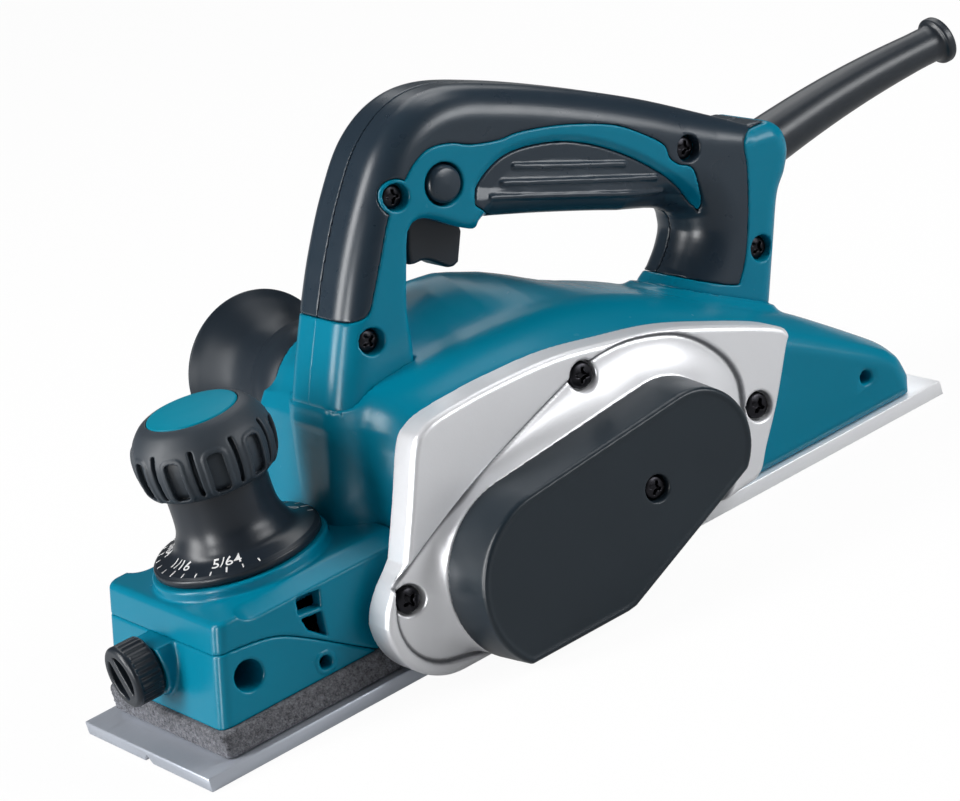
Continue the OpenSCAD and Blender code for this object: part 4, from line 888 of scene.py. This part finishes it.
def upperBlock():  # with the raised seat of the depth dial
    b = block
    x, y, z = sampled(b["upperGrid"])
    field = roundMax(blockField(x, y, z), b["joint"] - outlineField(b["parting"], x, z), 0.3)
    knobSeat = roundMax(bore(x, y, (knobX, 0, b["seatR"])), between(z, 40, b["seatTop"]), 0.8)
    field = roundMin(field, np.maximum(knobSeat, x - b["rear"]), 0.8)
    posts = allOf(bore(x, np.abs(y), b["posts"]), z - b["postTop"])
    field = np.maximum(field, -anyOf(boxField((x, y, z), *b["bay"]), bore(x, z, (0, drumZ, housing["bay"])),
                                     bore(x, y, (knobX, 0, b["screwHole"])), posts))
    for window in b["windows"]:
        field = roundMax(field, -allOf(outlineField(window, x, z), y - b["holeEnd"]), 0.5)
    return netted("block_upper", field, b["upperGrid"], finishes["housing"], most=80000)


# Main housing: dome, far-side humps, upper half of the front block and the foot of the handle

housing = {
    "wide": 40.0, "flat": 16.0, "edge": 4.0, "seatY": -41.4, "grid": ((-31, -43, 3), (177.5, 62, 98), 0.75),
    "sides": [(-14, 13.4), (-16, 40), (-13, 58)]
    + curveThrough([(-10.5, 65.5), (-6, 71.5), (1, 74.6), (17, 75.2), (40, 74), (60, 70), (80, 65), (100, 57),
                    (118, 48), (128.7, 41.8), (146.8, 31), (158, 24.2), (164, 20)], 4)
    + [(166.8, 16.4), (168, 10.2), (168, 4.5), (18, 4.5)],
    "deck": [(-20, 13.4), (-20, 46), (-17, 66)]
    + curveThrough([(-15.5, 73.5), (-11, 79.6), (-3, 83), (17, 84.6), (40, 84), (60, 81.2), (80, 75.8),
                    (100, 67), (118, 56.6), (132, 48.2), (143.9, 41), (157.2, 30.8), (170, 20.4)], 4)
    + [(172.8, 16.2), (174.6, 10.4), (175, 4.5), (18, 4.5)],
    "swellX": [-10, 4, 20, 36, 44.6, 49.6, 54.7, 59.8, 64.8, 69.7, 74.7, 80, 86], "swellFrom": -20.0,
    "swellHigh": [0, 6, 9.6, 11.2, 10.7, 9.5, 8.1, 6.9, 5.3, 3.7, 2.0, 0.6, 0],
    "pillar": [(-28.5, 13.4), (-28.5, 42), (-19.1, 78.8), (-16.7, 84), (4, 84), (4, 13.4)],
    "wall": [(-28, 13.4), (-28, 45), (-18.6, 75), (-13, 80.5), (4, 80.5), (4, 13.4)],
    "pillarHalf": 18.0, "wallY": (-8.0, 37.5), "humpY": (8.0, 32.4),
    "seatOutline": [(-14, 14), (-14, 40), (-8, 66), (0, 74), (17, 74.5), (40, 73.5), (60, 69.5), (80, 64.5),
                    (100, 56.5), (114, 49.5), (108, 32), (96, 12), (85, 9.6), (20, 9.6)],
    "hump": curveThrough([(-14, 62), (-14.5, 72), (-9, 84), (4, 84), (20, 86), (36, 87.5), (46.5, 86.4),
                          (54, 83), (60, 79), (66, 74), (72, 68), (80, 58)], 4) + [(60, 50), (5, 49)],
    "boss": 20.6, "footOut": 0.6, "footGap": 0.5, "footFrom": 60.0,
    "bulge": 33.0, "bulgeEnd": 59.8, "ear": 4.5, "earAt": 33.7, "earFrom": 41.0,
    "bay": 26.0, "bayEnd": 41.4, "motorBay": 29.5, "drumSeat": 11.05, "duct": (2, 30, 11),
    "tailHole": (152.4, 17.5, 2.2), "brushY": 51.8, "brushReach": 37.0, "brushR": 7.96, "brushHole": 5.96,
    "tailRoom": [(112, 0), (112, 42), (122, 41), (152, 18), (156, 0)], "tailHalf": 22.0, "ground": 4.52,
}


def liftedDeck(x, y, z):  # the outline of the deck, raised towards the far side
    h = housing
    deck = outlineField(h["deck"], x, z)
    swell = np.interp(x, h["swellX"], h["swellHigh"]).astype(np.float32)
    step = np.clip((y - h["swellFrom"]) / (h["flat"] - h["swellFrom"]), 0, 1)
    low, _, cell = h["grid"]
    down = np.clip((z - swell * step ** 2 * (3 - 2 * step) - low[2]) / cell, 0, z.size - 1.001)
    row, level = np.arange(x.size)[:, None, None], down.astype(int)
    return deck[row, 0, level] + (deck[row, 0, level + 1] - deck[row, 0, level]) * (down - level)


def domeField(x, y, z, u, below, column):  # the outside, with each form blended on
    h = housing
    away = np.abs(y)
    deck = liftedDeck(x, y, z)
    share = np.clip((away - h["flat"]) / (h["wide"] - h["flat"]), 0, 1) ** 2
    dome = roundMax(deck + (outlineField(h["sides"], x, z) - deck) * share, away - h["wide"], h["edge"])
    pillar = roundMax(outlineField(h["pillar"], x, z), away - h["pillarHalf"], 10.0)
    wall = roundMax(outlineField(h["wall"], x, z), between(y, *h["wallY"]), 5.0)
    dome = roundMin(dome, np.maximum(np.minimum(pillar, wall), below + 0.05), 7.0)
    hump = roundMax(outlineField(h["hump"], x, z), between(y, *h["humpY"]), 11.0)
    boss = roundMax(bore(x, z, (horn["x"], horn["z"], h["boss"])),
                    between(y, 12, horn["y"] - horn["over"] - 0.1), 0.6)
    dome = roundMin(dome, roundMin(hump, boss, 5.0), 6.0)
    foot = allOf(column - h["footOut"], below + h["footGap"], h["footFrom"] - u)  # follows the handle down
    dome = roundMin(dome, foot, 5.0)
    bulge = roundMax(bore(x, z, (motorX, motorZ, h["bulge"])), between(y, 0, h["bulgeEnd"]), 0.8)
    for turn in (45, 135, 225, 315):
        ex, ez = motorX + h["earAt"] * cos(radians(turn)), motorZ + h["earAt"] * sin(radians(turn))
        ear = allOf(bore(x, z, (ex, ez, h["ear"])), between(y, h["earFrom"], h["bulgeEnd"]))
        bulge = roundMin(bulge, ear, 1.5)
    brush = allOf(bore(y, z, (h["brushY"], motorZ, h["brushR"])),
                  between(x, motorX - h["brushReach"], motorX + h["brushReach"]))
    dome = roundMin(dome, roundMin(bulge, brush, 1.5), 2.5)
    farWall = roundMax(bore(x, z, (0, drumZ, h["bay"] + 2)), between(y, 31, horn["y"]), 2.0)
    dome = roundMin(dome, np.maximum(farWall, 7.4 - z), 2.0)
    return np.minimum(dome, allOf(outlineField(h["seatOutline"], x, z), between(y, h["seatY"], 0)))


def housingRooms(x, y, z):
    h = housing
    return anyOf(allOf(bore(x, z, (0, drumZ, h["bay"])), y - h["bayEnd"]),
                 bore(x, z, (motorX, motorZ, h["motorBay"])),
                 allOf(bore(x, z, (horn["x"], horn["z"], horn["bore"])), between(y, 19, 70)),
                 allOf(bore(x, y, h["duct"]), between(z, drumZ, horn["z"])),
                 allOf(bore(x, z, (0, drumZ, h["drumSeat"])), between(y, 40, 45.2)),
                 bore(y, z, (h["brushY"], motorZ, h["brushHole"])),
                 allOf(bore(x, z, h["tailHole"]), y + 29),
                 allOf(outlineField(h["tailRoom"], x, z), np.abs(y) - h["tailHalf"]))


def housingShell():
    h = housing
    x, y, z = sampled(h["grid"])
    u, v = handleAxes(x, z)
    below, column = outlineField(handle["below"], u, v), handleField(u, y, v)
    dome = roundMax(domeField(x, y, z, u, below, column), -housingRooms(x, y, z), 0.4)
    dome = allOf(dome, h["ground"] - z, 0.03 - np.maximum(column, -below))
    dome = np.minimum(dome, allOf(column + 0.3, below - 2, -6 - below))  # closes the joint under the handle
    parts = [netted("shell_rear", dome, h["grid"], finishes["housing"], most=112000), upperBlock()]
    seat(joined("main_shell", parts), "main_housing")


housingShell()

# Side frame: a cast plate whose face rises in a cove to the belt cover

cover = {
    "back": -57.0, "face": -76.0, "draft": 1.3, "edge": 1.5, "rim": 3.0, "rimDeep": 0.5, "wall": 2.5,
    "outline": arcRound((8.4, 23.2), 29.5, 222, 97, 48)
    + arcRound((motorX + 2, motorZ + 1), 20.6, 95, -42, 48) + [(29, 1.6), (26, 1.2), (-11, 1.2)],
    "screw": (47.2, 33.7), "screwHead": 4.2, "headDeep": 4.0, "screwHole": 2.3, "post": 6.5, "postHigh": 4.0,
    "grid": ((-24, -77.2, -1), (87, -56, 59), 0.6),
}
frameCast = {
    "back": -41.4, "face": -53.0, "rise": 4.0, "edge": 2.0, "wall": 0.7, "sunk": 1.2, "groove": 0.8,
    "grooveDeep": 1.6, "grid": ((-44, -58.4, -1), (123, -40, 80.5), 0.45),
    "outline": curveThrough([(-29.3, 40.3), (-22, 56), (-14.9, 71.8), (-10.2, 76.1), (-2.3, 78), (16.7, 78.7),
                             (39.6, 77.6), (59.8, 73.7), (80, 68.9), (99.6, 61.2), (117.2, 53.1),
                             (121.3, 48.8), (119, 44.6), (110.5, 30), (102.7, 18.9), (97, 11), (88, 9.2),
                             (60, 6), (30, 0.8)], 8)
    + arcRound((-20.5, 22.4), 21.6, 268, 180, 20)
    + curveThrough([(-41.9, 24.6), (-39.8, 29.2), (-36, 34), (-32, 37.6)], 6),
    "dish": curveThrough([(-34.5, 34), (-32.8, 36.3), (-13.5, 46.8), (9, 56.9), (41.2, 68.4), (50.2, 71),
                          (64.3, 71.2), (79.4, 67.1), (88.5, 61.3), (95.6, 52.8), (98.6, 45.2), (98.6, 38.4),
                          (95.5, 27), (88, 15), (78, 6)], 4)
    + [(60, -2), (30, -6)] + arcRound((-20.5, 22.4), 17.0, 262, 150, 12),
    "screws": [(46.7, 68), (-31.6, 29.6), (103.2, 31.9)], "screwHole": 4.9, "screwDeep": 3.4, "lowest": 0.8,
    "drumSeat": (16.05, 9.2), "motorSeat": (13.05, 8.2), "drumShaft": 9.5, "motorShaft": 6.5,
}


def frameCasting():
    f = frameCast
    x, y, z = sampled(f["grid"])
    toCover = np.maximum(outlineField(cover["outline"], x, z), 0)
    dish = outlineField(f["dish"], x, z)
    share = np.clip(toCover / np.maximum(toCover - np.minimum(dish, 0), 0.01), 0, 1)
    height = np.where(dish < 0, (f["rise"] + f["sunk"]) * (1 - share) ** 2, 0)
    height = height - f["sunk"] * np.clip(-dish / f["wall"], 0, 1)
    height = height - f["grooveDeep"] * np.maximum(0, 1 - np.abs(dish) / f["groove"])
    face = (f["face"] - height) - y
    field = roundMax(outlineField(f["outline"], x, z), face * 0.9, f["edge"])
    field = roundMax(np.maximum(field, y - f["back"]), f["lowest"] - z, 0.8)
    for spot in f["screws"]:
        hole = allOf(bore(x, z, (*spot, f["screwHole"])), y - f["face"] - f["screwDeep"])
        field = roundMax(field, -hole, 0.6)
    for spot, (wide, deep), shaft in (((0, drumZ), f["drumSeat"], f["drumShaft"]),
                                      ((motorX, motorZ), f["motorSeat"], f["motorShaft"])):
        bearing = allOf(bore(x, z, (*spot, wide)), f["back"] - deep - y)
        field = np.maximum(field, -anyOf(bearing, bore(x, z, (*spot, shaft))))
    obj = moulded("frame_casting", "side_frame", field, f["grid"])
    spots = np.empty(len(obj.data.vertices) * 3, np.float32)
    obj.data.vertices.foreach_get("co", spots)
    a, b, c = 1000 * spots.reshape(-1, 3).T
    line = 1 - np.abs(outlineField(f["dish"], a - drumX, c)) / f["groove"]
    # painted shade: this mask darkens the groove line in the frame's finish
    obj.data.attributes.new("groove", "FLOAT", "POINT").data.foreach_set(
        "value", (0.9 * np.clip(line * 2, 0, 1) * (b < f["face"] + 3)).astype(np.float32))


frameCasting()


def beltCover():
    c = cover
    x, y, z = sampled(c["grid"])
    outline = outlineField(c["outline"], x, z)
    drawn = outline + c["draft"] * (c["back"] - y) / (c["back"] - c["face"])
    field = roundMax(drawn, c["face"] - y, c["edge"])
    field = np.maximum(field, y - c["back"])
    field = roundMax(field, -np.maximum(outline + c["rim"], y - c["face"] - c["rimDeep"]), 0.35)
    column = np.hypot(x - c["screw"][0], z - c["screw"][1])
    room = allOf(outline + c["wall"] + c["draft"], c["face"] + c["wall"] - y, c["post"] - column)
    field = np.maximum(field, -room)
    field = roundMax(field, -allOf(column - c["screwHead"], y - c["face"] - c["headDeep"]), 0.5)
    post = allOf(column - c["post"] - 0.1, c["face"] + c["wall"] + c["postHigh"] - y)
    field = allOf(field, c["screwHole"] - column, -post)
    moulded("belt_shell", "belt_cover", field, c["grid"])


beltCover()

screws = {  # sizes: head radius, head height, shank radius, reach
    "frame_screws": {"spots": frameCast["screws"], "place": toFrame, "seatY": -49.6,
                     "sizes": (4.3, 3.0, 2.0, 8.0), "spin": (20, 65, 40)},
    "belt_cover_screw": {"spots": [cover["screw"]], "place": toFrame, "seatY": -72.0,
                         "sizes": (3.8, 2.6, 1.7, 8.0), "spin": (32,)},
    "handle_screws": {"spots": handle["screws"], "place": fromHandle, "seatY": -13.1,
                      "sizes": (3.8, 2.4, 1.65, 12.0), "spin": (15, 70, 30, 55)},
}


def screwSets():
    for node, s in screws.items():
        places = s["place"]([(a, s["seatY"], b) for a, b in s["spots"]])
        turns = [(90, spin, 0) for spin in s["spin"]]
        obj = repeated(node + "_set", places, turns, crossScrew(*s["sizes"]), finishes["black_steel"])
        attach(obj, bodyOf[node])
        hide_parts(node)
    print("screw sets:", len(screws))


screwSets()

# Thumb screw with a knurled rim and a finger bar

thumb = {"x0": -106.0, "x1": -96.0, "z": 28.5, "radius": 10.0, "ribs": 28, "ribDeep": 0.55, "barHalf": 1.7,
         "pocket": 6.9, "pocketDeep": 2.6, "barTurn": 62.0, "shank": 4.0, "shankEnd": -86.8, "cell": 0.36}


def thumbPiece():
    t = thumb
    reach = t["radius"] + 1
    grid = (t["x0"] - 1, -reach, t["z"] - reach), (-84, reach, t["z"] + reach), t["cell"]
    x, y, z = sampled(grid)
    radius = np.hypot(y, z - t["z"])
    turn = np.arctan2(z - t["z"], y)
    ribbed = (x > t["x0"] + 2.2) * (x < t["x1"] - 1)
    rim = radius - t["radius"] + t["ribDeep"] * (0.5 - 0.5 * np.cos(turn * t["ribs"])) * ribbed
    head = roundMax(rim, between(x, t["x0"], t["x1"]), 1.5)
    bar = radians(t["barTurn"])
    across = y * sin(bar) - (z - t["z"]) * cos(bar)
    pocket = roundMax(radius - t["pocket"], t["barHalf"] - np.abs(across), 1.0)
    pocket = roundMax(pocket, x - t["x0"] - t["pocketDeep"], 0.8)
    head = roundMax(head, -pocket, 0.6)
    shank = np.maximum(radius - t["shank"], between(x, t["x1"] - 1, t["shankEnd"]))
    moulded("fence_thumb_screw", "thumb_screw", np.minimum(head, shank), grid)


thumbPiece()

# Foam seal under the front block

foam = {"x0": -97.3, "x1": -28.0, "half": 38.5, "z0": 4.8, "z1": 13.35, "strip": 6.5, "rearStrip": 5.0,
        "corner": 3.5, "edge": 1.2, "cell": 0.6, "fluff": 0.12}


def foamSeal():
    f = foam
    aside = f["half"] + 1.5
    grid = (f["x0"] - 1.5, -aside, f["z0"] - 1), (f["x1"] + 1.5, aside, f["z1"] + 1), f["cell"]
    x, y, z = sampled(grid)
    plan = roundMax(between(x, f["x0"] + 0.3, f["x1"]), np.abs(y) - f["half"] + 0.3, f["corner"])
    hole = boxField((x, y, z), (f["x0"] + f["strip"], f["strip"] - f["half"], -1),
                    (f["x1"] - f["rearStrip"], f["half"] - f["strip"], 40))
    field = roundMax(np.maximum(plan, -hole), between(z, f["z0"], f["z1"]), f["edge"])
    verts, faces = skin(field, grid)
    rng = np.random.default_rng(7)
    loose = np.clip(np.minimum(verts[:, 2] - f["z0"], f["z1"] - verts[:, 2]) / 1.2, 0, 1)
    verts = verts + rng.normal(0, f["fluff"], verts.shape) * loose[:, None]
    obj = meshPiece("foam_strip", toFrame(verts), faces, finishes["felt"])
    seat(obj, "foam_seal")
    1 - baseTravel / (f["z1"] - f["z0"])
    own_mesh(obj)


foamSeal()

# Coil springs for the depth knob and the trigger, each with its own copy of its mesh

springs = {
    "depth_spring": {"radius": 13.3, "wire": 1.0, "low": 4.6, "high": 36.4, "turns": 7.0},
    "trigger_spring": {"radius": 2.2, "wire": 0.3, "low": 24.1, "high": 26.9, "turns": 2.5, "u": -0.5,
                       "keep": 0.44},
}


def onTrigger(points):
    a, b, v = np.asarray(points).T
    return fromHandle(np.stack([springs["trigger_spring"]["u"] + a, b, v], 1))


def coil(node, place):
    s = springs[node]
    t = np.linspace(0, 1, int(s["turns"] * 36))
    t, wire = np.r_[0, t, 1], np.r_[0, np.full(len(t), s["wire"]), 0]  # closed ends
    turn, round10 = tau * s["turns"] * t, np.arange(10) * tau / 10
    across = s["radius"] + wire[:, None] * np.cos(round10)
    rise = s["low"] + s["wire"] + (s["high"] - s["low"] - 2 * s["wire"]) * t
    rings = np.stack([across * np.cos(turn)[:, None], across * np.sin(turn)[:, None],
                      rise[:, None] + wire[:, None] * np.sin(round10)], 2)
    here = 10 * np.arange(len(t) - 1)[:, None] + np.arange(10)
    after = 10 * np.arange(len(t) - 1)[:, None] + np.roll(np.arange(10), -1)
    faces = np.stack([here, after, after + 10, here + 10], 2).reshape(-1, 4)
    obj = meshPiece(node + "_coil", place(rings.reshape(-1, 3)), faces, finishes["steel"])
    fixNormals(obj)
    return seat(obj, node)


def pressedSprings():
    base, trigger = springs["depth_spring"], springs["trigger_spring"]
    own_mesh(coil("depth_spring", onKnob), "front_base_slide", axis=(0, 0, 1),
              anchor=tuple(onKnob([(0, 0, base["high"])])[0]),
              keep=1 - baseTravel / (base["high"] - base["low"]))
    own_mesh(coil("trigger_spring", onTrigger), "trigger_pull", axis=(slopeSin, 0, slopeCos),
              anchor=tuple(onTrigger([(0, 0, trigger["high"])])[0]), keep=trigger["keep"])


pressedSprings()


# Machined pieces keep the CAD shape and get broken edges

edgeWidths = {"front_base": 0.5, "rear_base": 0.5, "motor_cap": 0.7, "brush_caps": 0.3,
              "motor_cap_screws": 0.2, "base_screws": 0.15, "cutter_drum": 0.3, "blades": 0.1,
              "blade_clamps": 0.3, "blade_bolts": 0.25}


def brokenEdges(node, width):
    name = {"front_base": "front_plate", "rear_base": "rear_plate"}.get(node, node + "_edged")
    bm = bmesh.new()
    bm.from_mesh(frame["nodes"][node].data)
    bmesh.ops.remove_doubles(bm, verts=bm.verts, dist=1e-6)
    bmesh.ops.dissolve_limit(bm, angle_limit=radians(1), verts=bm.verts, edges=bm.edges)
    mesh = bpy.data.meshes.new(name)
    bm.to_mesh(mesh)
    bm.free()
    mesh.materials.append(rearMetal if node == "rear_base" else finishes[slotOf[node]])
    obj = linked(name, mesh)
    edge = obj.modifiers.new("edge", "BEVEL")
    edge.width, edge.segments, edge.limit_method = width / 1000, 2, "ANGLE"
    edge.angle_limit = radians(35)
    edge.use_clamp_overlap = True
    settle(obj)
    obj.data.shade_smooth()
    obj.data.set_sharp_from_angle(angle=radians(40))
    seat(obj, node)


for node, width in edgeWidths.items():
    brokenEdges(node, width)
print("machined pieces:", len(edgeWidths))

# Camera at the photograph's viewing angle, from a fit to the sole and the frame

view = {"place": (-0.539121, -1.051943, 0.467827), "right": (0.80228307, -0.52435556, -0.28529481),
        "up": (0.41216851, 0.14087269, 0.9001511), "back": (-0.43180898, -0.83976552, 0.32914262),
        "lens": 150.02}


def cameraSetup():
    lens = bpy.data.cameras.new("camera")
    lens.lens, lens.sensor_width, lens.clip_end = view["lens"], 36, 20
    cam = linked("camera", lens)
    turned = Matrix((view["right"], view["up"], view["back"])).transposed().to_4x4()
    cam.matrix_world = Matrix.Translation(view["place"]) @ turned
    bpy.context.scene.camera = cam


cameraSetup()

# Light: a tall softbox at the far left, a wide panel at the right, dim surroundings and a white paper floor

studio = {"diffuse": 0.2, "glossy": 0.05, "floor": 0.42, "floorGlossy": 0.25, "floorSeen": 0.9}
lamps = {  # a shine lamp only adds reflections, a fill lamp adds none
    "key": {"at": (-1.08, 0.38, 0.6), "size": (0.4, 1.2), "power": 18.0},
    "key_shine": {"at": (-1.08, 0.38, 0.6), "size": (0.25, 1.2), "power": 14.0, "kind": "shine"},
    "left_shine": {"at": (-1.3, -0.36, 0.3), "size": (0.25, 0.8), "power": 15.0, "kind": "shine"},
    "right_fill": {"at": (1.0, -0.8, 0.9), "size": (1.2, 0.8), "power": 17.0, "kind": "fill"},
    "front_shine": {"at": (0.8, -1.05, 0.5), "size": (0.9, 0.45), "power": 12.0, "kind": "shine"},
    "back_shine": {"at": (0.68, 0.8, 1.0), "size": (0.9, 0.9), "power": 5.0, "kind": "shine"},
    "top_shine": {"at": (0.62, 0.15, 1.28), "size": (1.0, 0.5), "power": 4.0, "kind": "shine"},
}


def softbox(name, at, size, power, kind="both"):
    data = bpy.data.lights.new(name, "AREA")
    data.shape, data.size, data.size_y, data.energy = "RECTANGLE", size[0], size[1], power
    obj = linked(name, data)
    obj.location = at
    obj.visible_diffuse, obj.visible_glossy, obj.visible_camera = kind != "shine", kind != "fill", False
    obj.rotation_euler = (Vector((0, 0, 0.06)) - Vector(at)).to_track_quat("-Z", "Y").to_euler()


def studioSetup():
    s = studio
    world = bpy.data.worlds.new("studio")
    bpy.context.scene.world = world
    world.use_nodes = True
    tree = world.node_tree
    ground = tree.nodes["Background"]
    path = tree.nodes.new("ShaderNodeLightPath")
    glossy, seen = tree.nodes.new("ShaderNodeMapRange"), tree.nodes.new("ShaderNodeMix")
    glossy.inputs["To Min"].default_value, glossy.inputs["To Max"].default_value = s["diffuse"], s["glossy"]
    tree.links.new(path.outputs["Is Glossy Ray"], glossy.inputs["Value"])
    tree.links.new(path.outputs["Is Camera Ray"], seen.inputs["Factor"])
    tree.links.new(glossy.outputs[0], seen.inputs["A"])
    seen.inputs["B"].default_value = 1.0
    tree.links.new(seen.outputs[0], ground.inputs["Strength"])
    ground.inputs["Color"].default_value = (1, 1, 1, 1)
    for name, lamp in lamps.items():
        softbox(name, **lamp)
    far, drop = 6.0, -0.0005
    mesh = bpy.data.meshes.new("floor")
    corners = [(-far, -far, drop), (far, -far, drop), (far, far, drop), (-far, far, drop)]
    mesh.from_pydata(corners, [], [(0, 1, 2, 3)])
    floor = linked("floor", mesh)
    f = Finish("floor_paper")
    camera = f.add("ShaderNodeLightPath", {}, {}, "Is Camera Ray")
    mirror = f.add("ShaderNodeLightPath", {}, {}, "Is Glossy Ray")
    grey = (s["floor"],) * 3
    f.set(baseColor=f.between(f.grain(400, 2), grey, tuple(0.97 * c for c in grey)), roughness=0.9)
    share = camera * s["floorSeen"] + mirror * s["floorGlossy"]
    glow = f.add("ShaderNodeEmission", {}, {"Strength": 1.06})
    mix = f.add("ShaderNodeMixShader", {}, {0: share, 1: Wire(f, f.shader.outputs[0]), 2: glow})
    f.tree.links.new(mix.socket, f.tree.nodes["Material Output"].inputs["Surface"])
    mesh.materials.append(f.material)


studioSetup()
bpy.context.scene.view_settings.view_transform = "Standard"
print("studio ready")
